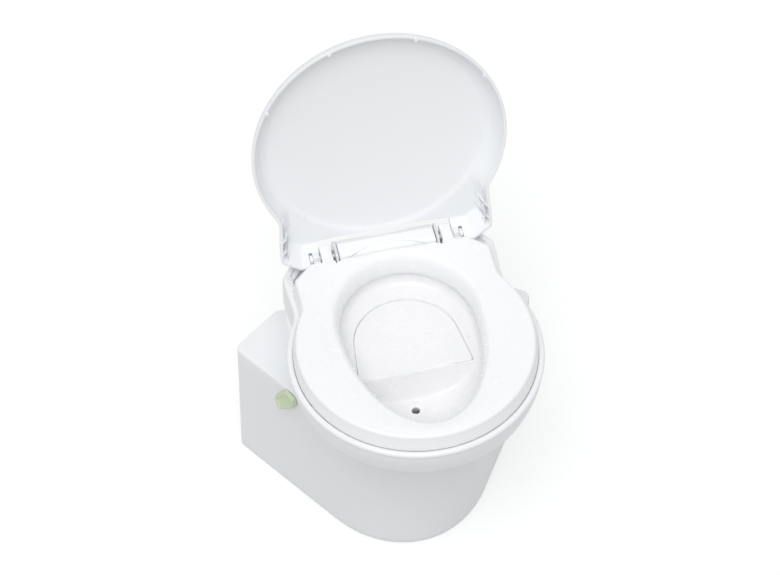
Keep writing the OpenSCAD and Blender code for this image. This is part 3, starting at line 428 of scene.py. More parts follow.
# %% Finish the kept CAD parts
FINISHES = {
    "shell": abs_shell, "seat_white": seat_white, "bowl": bowl_white, "knob": knob_green,
    "hinge": hinge_grey, "inner_plastic": inner_plastic, "container": bin_plastic,
    "fan_black": fan_plastic, "hose": hose_grey, "rubber": rubber_black, "steel": steel,
}
for part in frame["record"]["subparts"]:
    mesh = nodes[part["node"]].data
    mesh.materials.clear()
    mesh.materials.append(FINISHES[part["material_slot"]])
    mesh.shade_smooth()
    mesh.set_sharp_from_angle(angle=math.radians(30))
for name in ("press_lever", "lid_buffers"):
    nodes[name].data.materials[0] = seat_white
print("CAD parts finished:", len(nodes))

# %% [markdown]
# ## The base
#
# The base is one deep tub with an oval nose and a wide, straight rear. The side walls flare out
# towards two soft corners. It is drawn here as one closed skin: up the outside with a small foot
# chamfer, over the top edge, down the inside and across the floor.

# %% Base outline
NOSE = (147.0, 189.0, 154.0)  # half width, length and the middle's Y of the nose's ellipse
CORNER = (223.5, 205.0)
REAR = (150.0, 258.0)
BASE_TOP = 227.7
WALL = 4.0
BASE_MIDDLE = (0, 110)
BASE_ROUNDING = 11.5


def nose_touch():
    """The angle at which the straight side wall leaves the nose."""
    u, v = CORNER[0] / NOSE[0], (CORNER[1] - NOSE[2]) / NOSE[1]
    return math.acos(1 / math.hypot(u, v)) - math.atan2(v, u)


def nose_point(a):
    return (NOSE[0] * math.cos(a), NOSE[2] - NOSE[1] * math.sin(a))


def base_corners():
    touch = nose_touch()
    right = [nose_point(a) for a in np.linspace(math.pi / 2, touch, 40)[1:]] + [CORNER, REAR]
    return [nose_point(math.pi / 2)] + right + [(-x, y) for x, y in right[::-1]]


base_field = slab(base_corners(), BASE_ROUNDING)
base_angles = even_angles(480, BASE_MIDDLE, base_field)


def base_ring(inset, z):
    return at(trace(base_field, inset, base_angles, BASE_MIDDLE), z)


print("corners in the base outline:", len(base_corners()))

# %% [markdown]
# With the outline known, the tub is a list of insets and heights. Rings that shrink to almost
# nothing close its floor.

# %% Base skin
FOOT = 3.0
TOP_EDGE = 1.2
FLOOR = 4.0
FLOOR_FILLET = 8.0
TINY = 0.0001


def stand_for(piece, body, slot_name, *replaced):
    """The piece rides on its body and takes the place of CAD solids."""
    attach(piece, body)
    if replaced:
        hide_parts(*replaced)
    print(piece.name, "rides on", body, "with", len(piece.data.polygons), "faces")


base_rings = [base_ring(FOOT, 0), base_ring(FOOT * 0.4, FOOT * 0.5), base_ring(0, FOOT * 1.6)]
base_rings += [base_ring(0, z) for z in np.linspace(12, BASE_TOP - TOP_EDGE, 8)]
base_rings += [base_ring(TOP_EDGE - x, BASE_TOP - TOP_EDGE + y) for x, y in arc(TOP_EDGE, 0, 90, 4)[1:]]
base_rings += [base_ring(WALL - TOP_EDGE + x, BASE_TOP - TOP_EDGE + y) for x, y in arc(TOP_EDGE, 90, 0, 4)]
base_rings += [base_ring(WALL, z) for z in np.linspace(BASE_TOP - 12, FLOOR + FLOOR_FILLET, 6)]
base_rings += [
    base_ring(WALL + FLOOR_FILLET - x, FLOOR + FLOOR_FILLET + y) for x, y in arc(FLOOR_FILLET, 0, -90, 6)[1:]
]
for z, shares in ((FLOOR, (1, 0.5, TINY)), (0, (TINY, 0.5, 1))):
    middle = np.array([*BASE_MIDDLE, z])
    base_rings += [middle + (base_ring(40, z) - middle) * share for share in shares]
base_tub = skin("base_tub_skin", base_rings, abs_shell)
print("base rings:", len(base_rings))

# %% [markdown]
# The tub has round holes for the vent, the drain, the fan's socket, the two knob shafts and four
# floor screws. A hole could be left out where a part covers it, but the vent shows right through
# from behind, so each one is cut with a Boolean modifier that is applied at once.

# %% Rods and cuts


def rod(name, start, end, radius, finish=None, sides=48, soft=0.0, inner=0.0):
    """A round bar or tube between two points, with softened ends."""
    start, end = Vector(start), Vector(end)
    length = (end - start).length
    axis = (end - start).normalized()
    side = axis.orthogonal().normalized()
    other = axis.cross(side)
    line = [(radius, soft), (radius, length - soft)]
    if soft:
        line = [(radius - soft, 0), (radius - soft * 0.3, soft * 0.3), *line]
        line += [(radius - soft * 0.3, length - soft * 0.3), (radius - soft, length)]
    if inner:
        line += [(inner, length), (inner, 0)]
    a = np.linspace(0, 2 * np.pi, sides, endpoint=False)
    flat = np.cos(a)[:, None] * np.array(side) + np.sin(a)[:, None] * np.array(other)
    rings = [np.array(start) + np.array(axis) * h + flat * r for r, h in line]
    return skin(name, rings, finish, "joined" if inner else "capped")


def cut(piece, cutters, operation="DIFFERENCE"):
    for cutter in cutters:
        change = piece.modifiers.new("cut", "BOOLEAN")
        change.operation = operation
        change.solver = "EXACT"
        change.object = cutter
    bpy.context.view_layer.update()
    done = bpy.data.meshes.new_from_object(piece.evaluated_get(bpy.context.evaluated_depsgraph_get()))
    piece.modifiers.clear()
    old, piece.data = piece.data, done
    bpy.data.meshes.remove(old)
    for cutter in cutters:
        bpy.data.objects.remove(cutter)
    piece.data.shade_smooth()
    piece.data.set_sharp_from_angle(angle=EDGE_ANGLE)
    return piece


# %% [markdown]
# The holes in the rear wall stand in a list. The shafts go straight through the slanting side walls,
# so their direction is worked out from the outline.

# %% Cut holes
# Name, X, Z, radius and number of sides of each round hole in the rear wall
REAR_HOLES = [
    ("vent_cut", 95, 150, 34.5, 96), ("drain_cut", -95, 60, 13, 48), ("socket_cut", 0, 40, 6.05, 48)
]
SCREW_X, SCREW_ROWS, SCREW_R = 140, (165, 235), 2.75
SHAFT_R = 4.06
KNOB_Y, KNOB_Z = 110, 213.0


def wall_frame(side):
    """A point on the side wall at the knob, the way along the wall and the way out of it."""
    touch = nose_point(nose_touch())
    along = Vector((CORNER[0] - touch[0], CORNER[1] - touch[1], 0)).normalized()
    out = Vector((along.y, -along.x, 0))
    point = Vector((*touch, 0)) + along * ((KNOB_Y - touch[1]) / along.y)
    point.z = KNOB_Z
    for v in (along, out, point):
        v.x *= side
    return point, along, out


def tub_cutters():
    made = [rod(name, (x, 250, z), (x, 262, z), radius, sides=n) for name, x, z, radius, n in REAR_HOLES]
    for side in (-1, 1):
        point, _, out = wall_frame(side)
        made.append(rod("shaft_cut", point - out * 9, point + out * 4, SHAFT_R))
        x = side * SCREW_X
        made += [rod("screw_cut", (x, y, -2), (x, y, 6), SCREW_R, sides=32) for y in SCREW_ROWS]
    return made


cut(base_tub, tub_cutters())
stand_for(base_tub, "base", "shell", "base_tub")

# %% [markdown]
# ## The upper shell
#
# This moulding carries the bowl and the seat. From the outside in it has a shoulder that sits on the
# base, a neck that swells up to the rim, a skirt that tucks in under a round bead, and a flat deck
# inside it. The rim follows the circle in front and two ears at the back. One profile runs
# round all of it, and the neck blends from the rim's outline to the base's.

# %% Rim, neck and mouth outlines
RIM_R = 182.5
RIM_Z = 414.0
DECK_Z = 400.0
SHOULDER = 232.0
SHELL_MIDDLE = (0, 60)
EARS = [(151, 60), (152, 100), (155, 150), (155, 174), (128, 210)]
EAR_ROUNDING = 9
NECK_HALF, NECK_REAR, NECK_BACK, NECK_ROUNDING = 138, 246, 3, 20


def ear_block(points, front=20.0):
    """The convex outline of both ears together."""
    right = [(points[0][0], front)] + list(points)
    return right + [(-x, y) for x, y in right[::-1]]


def eared(radius, ears, rounding, soft):
    """A circle with two ears."""
    return joined(disc(radius), slab(ear_block(ears), rounding), soft)


rim_field = eared(RIM_R, EARS, EAR_ROUNDING, EAR_ROUNDING)


def neck_corners():
    touch = math.acos(NECK_HALF / NOSE[0])
    right = [nose_point(a) for a in np.linspace(math.pi / 2, touch, 36)[1:]]
    right = [(x, y + NECK_BACK) for x, y in right] + [(NECK_HALF, NECK_REAR)]
    return [(0, nose_point(math.pi / 2)[1] + NECK_BACK)] + right + [(-x, y) for x, y in right[::-1]]


neck_field = slab(neck_corners(), NECK_ROUNDING)
MOUTH_HALF, MOUTH_Y, MOUTH_FRONT, MOUTH_REAR = 103.0, 45.0, 187.0, 112.0


def mouth_field(p):
    """The egg-shaped opening, measured roughly in mm from its edge."""
    y = p[:, 1] - MOUTH_Y
    reach = np.where(y > 0, MOUTH_REAR, MOUTH_FRONT)
    size = np.hypot(p[:, 0] / MOUTH_HALF, y / reach)
    return (size - 1) * np.hypot(p[:, 0], y) / np.maximum(size, 1e-6)


def mouth(grow, turn):
    reach = np.where(np.sin(turn) > 0, MOUTH_REAR, MOUTH_FRONT)
    return np.stack([(MOUTH_HALF + grow) * np.cos(turn), MOUTH_Y + (reach + grow) * np.sin(turn)], 1)


shell_angles = even_angles(560, SHELL_MIDDLE, base_field, rim_field)


def shell_ring(field, inset, z):
    return at(trace(field, inset, shell_angles, SHELL_MIDDLE), z)


print("points round the shell:", len(shell_angles))

# %% [markdown]
# The neck is a loft between two outlines. A blend along the rays would bulge at the corners. Here
# each direction blends the two points that reach furthest that way, as a straight loft does.

# %% Neck and skirt
SKIN = 3.5
SKIRT = 362.0
SKIRT_H = 42.0
SKIRT_SWELL = 9


def loft(low, high, share):
    """The outline a straight loft between two convex outlines has at a share of its height."""
    turn = np.linspace(0, 2 * np.pi, 1800)
    way = np.stack([np.cos(turn), np.sin(turn)])
    points = low[(low @ way).argmax(0)] * (1 - share) + high[(high @ way).argmax(0)] * share
    run = np.concatenate([[0], np.cumsum(np.linalg.norm(np.diff(points, axis=0), axis=1))])
    fine = np.linspace(0, run[-1], 9000)
    x, y = (np.interp(fine, run, points[:, i]) - SHELL_MIDDLE[i] for i in (0, 1))
    reach = np.interp(shell_angles, np.arctan2(y, x), np.hypot(x, y), period=2 * np.pi)
    return np.array(SHELL_MIDDLE) + np.stack([np.cos(shell_angles), np.sin(shell_angles)], 1) * reach[:, None]


def skirt_field(share):
    """The skirt's outline, which swells from the neck's head to the bead."""
    radius = RIM_R - 1.5 - SKIRT_SWELL * (1 - math.sin(share * math.pi / 2))
    return eared(radius, EARS, EAR_ROUNDING, EAR_ROUNDING)


def neck_rings(inset, low, high, steps):
    fine = np.linspace(0, 2 * np.pi, 2400, endpoint=False)
    foot = trace(neck_field, inset, fine, SHELL_MIDDLE)
    head = trace(skirt_field(0), inset + 1.5, fine, SHELL_MIDDLE)
    return [at(loft(foot, head, t), low + (high - low) * t) for t in np.linspace(0, 1, steps + 1)]


print("the skirt swells by", SKIRT_SWELL, "mm")

# %% [markdown]
# One profile goes round everything: shoulder, fillet, neck, skirt, bead, a trench inside the bead,
# the deck with the opening, and back down inside. At the ears the trench is lifted and nearly filled.

# %% Upper shell skin
SHOULDER_R = 2.2
FILLET_R = 9.0
BEAD_R = 5
EAR_LIFT = 8.0
DECK_HOLE = 4.5
# Inset, height and share of the ears' lift
TRENCH = [(8.8, 411.4, 0), (8.9, 403.6, 0.65), (9.8, 402.8, 0.75), (12, 402, 0.85), (15, DECK_Z, 1)]


def shoulder_rings(neck):
    """The shoulder that sits on the base, and its fillet into the neck."""
    rings = [shell_ring(base_field, 1.2, SHOULDER - 4), shell_ring(base_field, 0.2, SHOULDER - 3)]
    curve = arc(SHOULDER_R, 0, 90, 5)
    rings += [shell_ring(base_field, SHOULDER_R - x, SHOULDER - SHOULDER_R + y) for x, y in curve]
    base_edge = trace(base_field, 3, shell_angles, SHELL_MIDDLE)
    foot = neck[0][:, :2]
    reach = np.linalg.norm(base_edge - foot, axis=1)
    fillet = np.minimum(FILLET_R, reach * 0.8)
    out = (base_edge - foot) / np.maximum(reach, 1e-6)[:, None]
    for t in (0.35, 0.7):
        edge = foot + out * fillet[:, None]
        rings.append(at(base_edge + (edge - base_edge) * t, SHOULDER))
    for a in np.radians(np.linspace(90, 0, 8)):
        side = fillet * (1 - math.cos(a))
        height = fillet * (1 - math.sin(a))
        lean = (neck[-1][:, :2] - foot) * (height / (SKIRT - SHOULDER))[:, None]
        rings.append(at(foot + out * side[:, None] + lean, SHOULDER + height))
    return rings + [r for r in neck if (r[:, 2] > SHOULDER + fillet + 2).all()]


def upper_profile():
    rings = shoulder_rings(neck_rings(0, SHOULDER, SKIRT - 0.5, 22))
    rings += [shell_ring(skirt_field(t), 0, SKIRT + SKIRT_H * t) for t in np.linspace(0, 1, 14)]
    rings += [shell_ring(rim_field, BEAD_R - x, RIM_Z - BEAD_R + y) for x, y in arc(BEAD_R, -40, 138, 15)]
    for inset, z, share in TRENCH:
        ring = shell_ring(rim_field, inset, z)
        ring[:, 2] += EAR_LIFT * share * smooth_step((ring[:, 1] - 70) / 60)
        rings.append(ring)
    rings.append(shell_ring(rim_field, 17, DECK_Z))
    hole = trace(mouth_field, -DECK_HOLE, shell_angles, SHELL_MIDDLE)
    rings += [at(hole, DECK_Z), at(hole, DECK_Z - SKIN)]
    rings += [shell_ring(rim_field, 18, DECK_Z - SKIN), shell_ring(rim_field, 16.5, SKIRT + 4)]
    rings += neck_rings(SKIN, SHOULDER - 4, SKIRT, 12)[::-1]
    return rings


upper_shell = skin("upper_shell_skin", upper_profile(), abs_shell)
stand_for(upper_shell, "upper", "shell", "upper_shell")

# %% [markdown]
# ## The bowl
#
# The bowl is one moulding with two outlets. Behind a straight ridge a flap closes the arched way
# down for solids. In front of the ridge a basin drains urine through a small hole. Its inside is
# what shows, so the inside is modelled as a surface, and a Solidify modifier gives it its wall.

# %% Bowl outlines
LEDGE = 376.0
LEDGE_RISE = 6.0
RIDGE_Y = -6.0
DRAIN = np.array([-9.0, -40.0])
DRAIN_R = 6.0
BASIN_FLOOR = 331.0
ARCH_R, ARCH_Y, ARCH_FRONT = 76.5, 52.0, -3.0
FLARE = 84.0
CHUTE = 330.0


def arch_outline(inset):
    """The arched outlet: most of a circle behind, sides that flare a little, and a straight front."""
    r, front, flare = ARCH_R - inset, ARCH_FRONT + inset, FLARE - inset
    drop = ARCH_Y - front
    touch = math.acos(r / math.hypot(flare, drop)) - math.atan2(drop, flare)
    bow = [(r * math.cos(a), ARCH_Y + r * math.sin(a)) for a in np.linspace(touch, math.pi - touch, 90)]
    return slab([(flare, front), *bow, (-flare, front)], 3.0)


def rays_to(points, middle):
    away = points - np.array(middle)
    return np.arctan2(away[:, 1], away[:, 0])


# The throat's edge, cut at the ridge into a front and a rear half that share their corners
THROAT = -6.0
corner_turn = math.asin((RIDGE_Y - MOUTH_Y) / (MOUTH_FRONT + THROAT))
rear_turn = np.linspace(corner_turn, math.pi - corner_turn, 261)
front_turn = np.linspace(math.pi - corner_turn, 2 * math.pi + corner_turn, 181)
rear_edge, front_edge = mouth(THROAT, rear_turn), mouth(THROAT, front_turn)
ridge_line = np.stack([np.linspace(rear_edge[-1][0], rear_edge[0][0], 91), np.full(91, RIDGE_Y)], 1)
print("ridge length:", round(float(rear_edge[0][0] - rear_edge[-1][0])), "mm")

# %% [markdown]
# The inside is three stacks of rings that share their edges: a funnel down to the throat, a basin
# round the drain, and a ledge round the arch. The shared points are then merged.

# %% Funnel and basin
BOWL_TOP = 405
FUNNEL_TOP = 403.5
RIDGE_SLOPE, RIDGE_SOFT = 3.2, 8.0


def ledge_height(p):
    """The ledge rises a little towards the rear."""
    return LEDGE + LEDGE_RISE * smooth_step((p[:, 1] - RIDGE_Y) / 110)


def funnel_rings():
    turn = np.concatenate([front_turn[:-1], rear_turn[:-1] + 2 * math.pi])
    floor = ledge_height(mouth(THROAT, turn))
    rings = [at(mouth(grow, turn), BOWL_TOP) for grow in (4.2, 2)]
    rings += [at(mouth(1 - s, turn), BOWL_TOP - 1.5 * s) for s in (0.4, 1)]
    for t in np.linspace(0.12, 1, 12):
        drop = min(t + 0.1 * math.sin(math.pi * t), 1)
        rings.append(at(mouth(THROAT * t**3, turn), FUNNEL_TOP - (FUNNEL_TOP - floor) * drop))
    return rings


def basin_height(p):
    """A shallow dish that falls to the drain, with the ridge's steep face rising out of it."""
    away = p - DRAIN
    edge = trace(mouth_field, -THROAT, rays_to(p, DRAIN), DRAIN)
    share = np.linalg.norm(away, axis=1) / np.linalg.norm(edge - DRAIN, axis=1)
    dish = BASIN_FLOOR + (LEDGE - BASIN_FLOOR) * (0.1 * share + 0.9 * share**3.4)
    face = LEDGE - 1 - (RIDGE_Y - p[:, 1]) * RIDGE_SLOPE
    return np.minimum(-soft_min(-dish, -face, RIDGE_SOFT), LEDGE)


def basin_rings():
    front = np.concatenate([front_edge, ridge_line[::-1][1:-1]])
    reach = np.linalg.norm(front - DRAIN, axis=1)
    way = (front - DRAIN) / reach[:, None]
    rings = [at(DRAIN + way * DRAIN_R, BASIN_FLOOR - drop) for drop in (16, 2)]
    for share in np.linspace(0, 1, 44):
        p = DRAIN + way * (DRAIN_R + (reach - DRAIN_R) * share)[:, None]
        z = basin_height(p)
        if share == 0:
            z = z - 0.6
        if share == 1:
            z = np.where(p[:, 1] > RIDGE_Y - 0.01, LEDGE - 1.0, LEDGE)
            z[[0, len(front_edge) - 1]] = LEDGE
        rings.append(at(p, z))
    return rings


print("basin depth:", LEDGE - BASIN_FLOOR, "mm")

# %% [markdown]
# The ledge turns down into the arch with a small rounding, and its rings blend from the throat's
# outline to the arch's.

# %% Ledge and bowl skin
def ledge_rings():
    rear = np.concatenate([rear_edge, ridge_line[1:-1]])
    middle = (0, ARCH_Y - 10)
    hole = [trace(arch_outline(0), inset, rays_to(rear, middle), middle) for inset in (-2.0, -0.6, 0)]
    edge_z = ledge_height(rear)
    edge_z[len(rear_edge) :] = LEDGE - 1.0
    rings = [at(rear, edge_z)]
    for t in np.linspace(0.15, 1, 8):
        rings.append(at(rear + (hole[0] - rear) * t, edge_z + (LEDGE - edge_z) * (1 - (1 - t) ** 1.5)))
    rings += [at(hole[1], LEDGE - 0.5), at(hole[2], LEDGE - 2)]
    return rings + [at(hole[2], z) for z in (365, 350, CHUTE)]


bowl = merged("bowl_skin", (funnel_rings(), basin_rings(), ledge_rings()), bowl_white)
wall = bowl.modifiers.new("wall", "SOLIDIFY")
wall.thickness = 2.6 * MM
wall.offset = -1
stand_for(bowl, "upper", "bowl", "bowl")

# %% [markdown]
# ## The view flap
#
# The flap fills the arch with a thin gap round it. It is not quite flat: two soft creases run from
# its front edge to its sides, and the corners in front of them turn up a little.

# %% View flap
FLAP_GAP = 0.45
FLAP_TOP = 375.0
FLAP_THICK = 3.2
CREASE_SOFT = 6.0


def flap_height(p):
    """Level, but for the two front corners, which turn up beyond a straight crease each."""
    x, y = p[:, 0], p[:, 1]
    right = (x - 5) * 0.68 - (y - 13) * 0.733
    left = -(x + 20) * 0.62 - (y - 6) * 0.785
    rise = np.maximum(np.maximum(right, left), 0)
    rise = np.sqrt(rise * rise + CREASE_SOFT * CREASE_SOFT) - CREASE_SOFT
    return FLAP_TOP - FLAP_THICK + np.minimum(rise * 0.11, 4.0)


def view_flap():
    middle = np.array([0.0, 42.0])
    outline = arch_outline(FLAP_GAP)
    angles = even_angles(300, middle, outline)
    edge, inner = (trace(outline, inset, angles, middle) for inset in (0, 1.0))
    top = [middle + (inner - middle) * share for share in np.linspace(0.001, 1, 30)]
    under = [middle + (inner - middle) * share for share in (0.8, 0.4, 0.001)]
    z = flap_height(edge)
    rings = [at(p, flap_height(p)) for p in top]
    rings += [at(edge, z - 0.8), at(edge, z - 2.6), at(inner, z - FLAP_THICK)]
    rings += [at(p, flap_height(p) - FLAP_THICK) for p in under]
    return skin("view_flap_skin", rings, bowl_white, "open")


stand_for(view_flap(), "flap", "bowl", "view_flap")

# %% [markdown]
# ## The seat
#
# The seat is a hollow moulding, 28 mm high. Its top is nearly flat, its outer wall has a 5 mm
# rounding and flares a little down to the foot, and its inner edge rolls down in one long curve to a
# lip that hangs into the bowl. Ribs stiffen the hollow side.

# %% Seat
SEAT_TOP = 440.0
SEAT_FOOT = 411.8
SEAT_R = 170
SEAT_EARS = [(142.5, 146), (114.5, 170)]
SEAT_MIDDLE = (0, 30)
SEAT_EDGE = 5
SEAT_FLARE = 3.4
ROLL_START, ROLL_DROP, ROLL_REACH = 9, 26, 14
# Growth of the mouth's outline and height: round the lip and up the hollow side
LIP = [(-5, 404), (-4.5, 403.2), (-3.4, 403), (-2.6, 403.8), (-2.4, 412), (-1.5, 424), (4, 432), (8, 434.5)]
# Inset of the seat's outline and height: along the hollow side and down to the foot
HOLLOW = [(12, 435), (6, 434), (5, 431), (2, 419), (-1.2, 412.1)]
seat_field = eared(SEAT_R, SEAT_EARS, 6, 6)
seat_angles = even_angles(560, SEAT_MIDDLE, seat_field)


def seat_ring(inset, z, field=seat_field):
    return at(trace(field, inset, seat_angles, SEAT_MIDDLE), z)


def mouth_ring(grow, z):
    return seat_ring(-grow, z, mouth_field)


def seat_rings():
    wall = SEAT_FOOT + 6.2
    rings = [seat_ring(0.3 - SEAT_FLARE, SEAT_FOOT)]
    rings += [seat_ring(-SEAT_FLARE, SEAT_FOOT + 0.6), seat_ring(-SEAT_FLARE, wall)]
    rings += [seat_ring(-SEAT_FLARE + SEAT_FLARE * t, wall + 17 * t) for t in (0.25, 0.5, 0.75)]
    rings += [seat_ring(SEAT_EDGE - x, SEAT_TOP - SEAT_EDGE + y) for x, y in arc(SEAT_EDGE, 0, 90, 9)]
    outer, inner = seat_ring(SEAT_EDGE, SEAT_TOP), mouth_ring(ROLL_START, SEAT_TOP)
    for t in np.linspace(0.08, 1, 9):
        ring = outer + (inner - outer) * t
        ring[:, 2] += 0.9 * math.sin(math.pi * t)
        rings.append(ring)
    for turn in np.linspace(0.05, 1, 16) * math.pi / 2:
        reach = ROLL_START - ROLL_REACH * math.sin(turn) ** 0.9
        rings.append(mouth_ring(reach, SEAT_TOP - ROLL_DROP * (1 - math.cos(turn))))
    return rings + [mouth_ring(grow, z) for grow, z in LIP] + [seat_ring(inset, z) for inset, z in HOLLOW]


seat = skin("seat_skin", seat_rings(), seat_white)
print("seat faces:", len(seat.data.polygons))

# %% [markdown]
# The smaller forms are rounded blocks and plates. A modifier could bevel them, but here the rounding
# is built in, so that it stays after a cut.

# %% Rounded blocks and plates


def block(name, low, high, soft, finish=None):
    """A box with rounded edges."""
    made = bmesh.new()
    bmesh.ops.create_cube(made, size=1)
    size, middle = (np.array(high) - low) * MM, (np.array(high) + low) / 2 * MM
    bmesh.ops.scale(made, verts=made.verts, vec=size)
    bmesh.ops.translate(made, verts=made.verts, vec=middle)
    bmesh.ops.bevel(made, geom=made.edges[:], offset=soft * MM, segments=4, profile=0.5, affect="EDGES")
    mesh = bpy.data.meshes.new(name)
    made.to_mesh(mesh)
    made.free()
    return placed(name, mesh, finish)


def plate(name, outline, x0, x1, rounding, soft, finish):
    """A plate across X with a rounded Y-Z outline and softened edges."""
    middle = np.mean(outline, 0)
    field = slab(outline, rounding)
    angles = even_angles(160, middle, field)
    edge = [(soft, 0), (soft * 0.3, soft * 0.3), (0, soft)]
    rings = []
    for inset, x in [(d, x0 + h) for d, h in edge] + [(d, x1 - h) for d, h in edge[::-1]]:
        p = trace(field, inset, angles, middle)
        rings.append(np.column_stack([np.full(len(p), x), p]))
    return skin(name, rings, finish, "capped")


def mirrored_pair(make):
    """One piece for each side."""
    right, left = make("right"), make("left")
    left.data.transform(Matrix.Scale(-1, 4, (1, 0, 0)))
    left.data.flip_normals()
    return right, left


def plate_pair(name, *shape):
    return mirrored_pair(lambda word: plate(name + word, *shape))


# %% [markdown]
# Between the seat's two hinge lugs there is room for the fixed bridge and its barrel. A block with a
# round front and a rod about the hinge cut it out. The ribs and bosses stand in the hollow.

# %% Seat room, lugs and ribs
HINGE = (185.0, 428.0)
BRIDGE_X = 70.5
SEAT_BACK = math.hypot(BRIDGE_X, 167)
SEAT_LUG = (80.0, 96.0)
BARREL_ROOM = 15
RIB_ANGLES = (195, 225, 255, 285, 315, 345)


def bridge_room():
    """The space that the bridge and its cheeks need, with a round front."""
    box = block("room", (-78.5, 120, 405), (78.5, 230, 446), soft=1.5)
    front = rod("front", (0, 0, 395), (0, 0, 455), SEAT_BACK - 1.5, sides=360)
    return cut(box, [front])


cut(seat, [bridge_room(), rod("barrel_room", (-78, *HINGE), (78, *HINGE), BARREL_ROOM, sides=96)])
stand_for(seat, "seat", "seat_white", "seat")
lug_line = [(164, 418), (193, 418), (203, 428), (199, 439.2), (164, 439.2)]
for lug in plate_pair("seat_lug_", lug_line, *SEAT_LUG, 4, 1.2, seat_white):
    stand_for(lug, "seat", "seat_white")


def seat_rib(index, angle):
    """A rib from the mouth's wall to the outer wall."""
    a = math.radians(angle)
    inner = trace(mouth_field, -2, np.array([a]), (0, 0))[0]
    start = float(np.hypot(*inner)) - 4
    rib = block(f"seat_rib_{index}", (start, -1.4, 419), (167, 1.4, 436), soft=0.6, finish=seat_white)
    rib.data.transform(Matrix.Rotation(a, 4, "Z"))
    stand_for(rib, "seat", "seat_white")


def buffer_boss(word):
    return rod("buffer_boss_" + word, (74, -136, 419), (74, -136, 436), 7.5, seat_white, soft=0.4)


for i, angle in enumerate(RIB_ANGLES):
    seat_rib(i, angle)
for boss in mirrored_pair(buffer_boss):
    stand_for(boss, "seat", "seat_white")

# %% [markdown]
# ## The lid
#
# The lid is a deep dish that closes over the seat. It is built closed, with its rim land at the
# bottom, and then turned open by 104.5 degrees about the hinge. Inside there is a round dish, and
# beside it a shallower floor under each ear that slopes down to the ear's rear edge.

# %% Lid
LID_OPEN = -104.5
LAND = 416.0
LID_EARS = [(151, 60), (152, 100), (155, 150), (155, 174), (128, 192)]
LID_MIDDLE = (0, 20)
lid_field = eared(184, LID_EARS, 7, 8)
lid_angles = even_angles(600, LID_MIDDLE, lid_field)
DISH_R, DISH_DEPTH, DISH_CROWN = 162.0, 30, 7
EAR_FLOOR = 27.4
EAR_WALL = 4
LID_LAND = 4.4
LID_DOME = 54.0
CREASE = 3.0


def dish_depth(p):
    """How deep the inside is at each point."""
    r = np.hypot(p[:, 0], p[:, 1])
    dish = DISH_DEPTH + DISH_CROWN * (1 - np.minimum(r / DISH_R, 1) ** 2)
    shelf = EAR_FLOOR + (dish - EAR_FLOOR) * smooth_step((DISH_R + 5 - r) / 11)
    side = np.sqrt(LID_DOME * np.clip(-lid_field(p) - LID_LAND, 0, None)) + 0.2
    rear = np.maximum(ear_slope(p), 0)
    return np.maximum(soft_min(soft_min(shelf, side, CREASE), rear, CREASE), 0.0)


def ear_slope(p):
    """Height of the sloping wall in front of each ear's rear edge and chamfer."""
    x, y = np.abs(p[:, 0]), p[:, 1]
    (x0, y0), (x1, y1) = LID_EARS[-2:]
    run, rise = x0 - x1, y1 - y0
    to_chamfer = ((x0 - x) * rise + (y0 - y) * run) / math.hypot(rise, run) - EAR_WALL
    return np.where(y > 100, np.minimum(y1 - EAR_WALL - y, to_chamfer) * 1.35, 99.0)


print("lid depth inside:", round(float(dish_depth(np.zeros((1, 2)))[0]), 1), "mm")

# %% [markdown]
# The lid's wall is domed outside and follows the same curve inside. The rings are dense near the
# rim, where the inner wall is steep.

# %% Lid skin
LID_SIDE = 33.0
LID_TOP = 457.5
LID_CROWN = LID_TOP - LAND - LID_SIDE
axle = Vector((0, HINGE[0] * MM, HINGE[1] * MM))
turned = Matrix.Rotation(math.radians(LID_OPEN), 4, "X")
to_open = Matrix.Translation(axle) @ turned @ Matrix.Translation(-axle)


def lid_line(inset):
    return trace(lid_field, inset, lid_angles, LID_MIDDLE)


def lid_ring(inset, z):
    return at(lid_line(inset), z)


def lid_rings():
    rings = [lid_ring(LID_LAND, LAND + 0.4), lid_ring(LID_LAND - 0.7, LAND), lid_ring(1.2, LAND)]
    rings += [lid_ring(0.4, LAND + 0.4), lid_ring(0.1, LAND + 1.4)]
    rings += [lid_ring(z * z / LID_DOME, LAND + z) for z in np.linspace(4, LID_SIDE, 13)]
    crown, inner, middle = lid_line(LID_SIDE**2 / LID_DOME), lid_line(LID_LAND), np.array(LID_MIDDLE)
    for t in np.linspace(0.06, 0.999, 16):
        rings.append(at(crown * (1 - t) + middle * t, LAND + LID_SIDE + LID_CROWN * (1 - (1 - t) ** 2.6)))
    for t in np.concatenate([1 - 0.4 * np.linspace(0.03, 1, 30) ** 2, np.linspace(0.59, 0.004, 70)]):
        p = inner * (1 - t) + middle * t
        rings.append(at(p, LAND + dish_depth(p)))
    return rings


lid = skin("lid_skin", lid_rings(), lid_white)
print("lid rings of", len(lid_angles), "points")

# %% [markdown]
# The closed lid needs room for the bridge, the seat's lugs and the lever's two arms, which blocks cut
# out. Only then is it turned open.

# %% Lid slots and lugs
LEVER_X = (108.0, 112.0)
LEVER_ROOM = 0.6
LID_LUG = (98.5, 106.5)


def hinge_rooms():
    rooms = [
        block("bridge", (-80, 164, 405), (80, 230, 480), soft=2),
        block("lugs", (-97.5, 165, 405), (97.5, 230, 480), soft=1),
    ]
    for side in (-1, 1):
        ends = sorted((side * (LEVER_X[0] - LEVER_ROOM), side * (LEVER_X[1] + LEVER_ROOM)))
        rooms.append(block("arm", (ends[0], 176, 405), (ends[1], 230, 437.5), soft=0.5))
    return rooms


cut(lid, hinge_rooms())
lid_lug_line = [(176, 420), (190, 420), (194, 428), (191, 449), (176, 449)]
for lug in plate_pair("lid_lug_", lid_lug_line, *LID_LUG, 2, 0.8, lid_white):
    lug.data.transform(to_open)
    stand_for(lug, "lid", "seat_white")
lid.data.transform(to_open)
stand_for(lid, "lid", "seat_white", "lid")

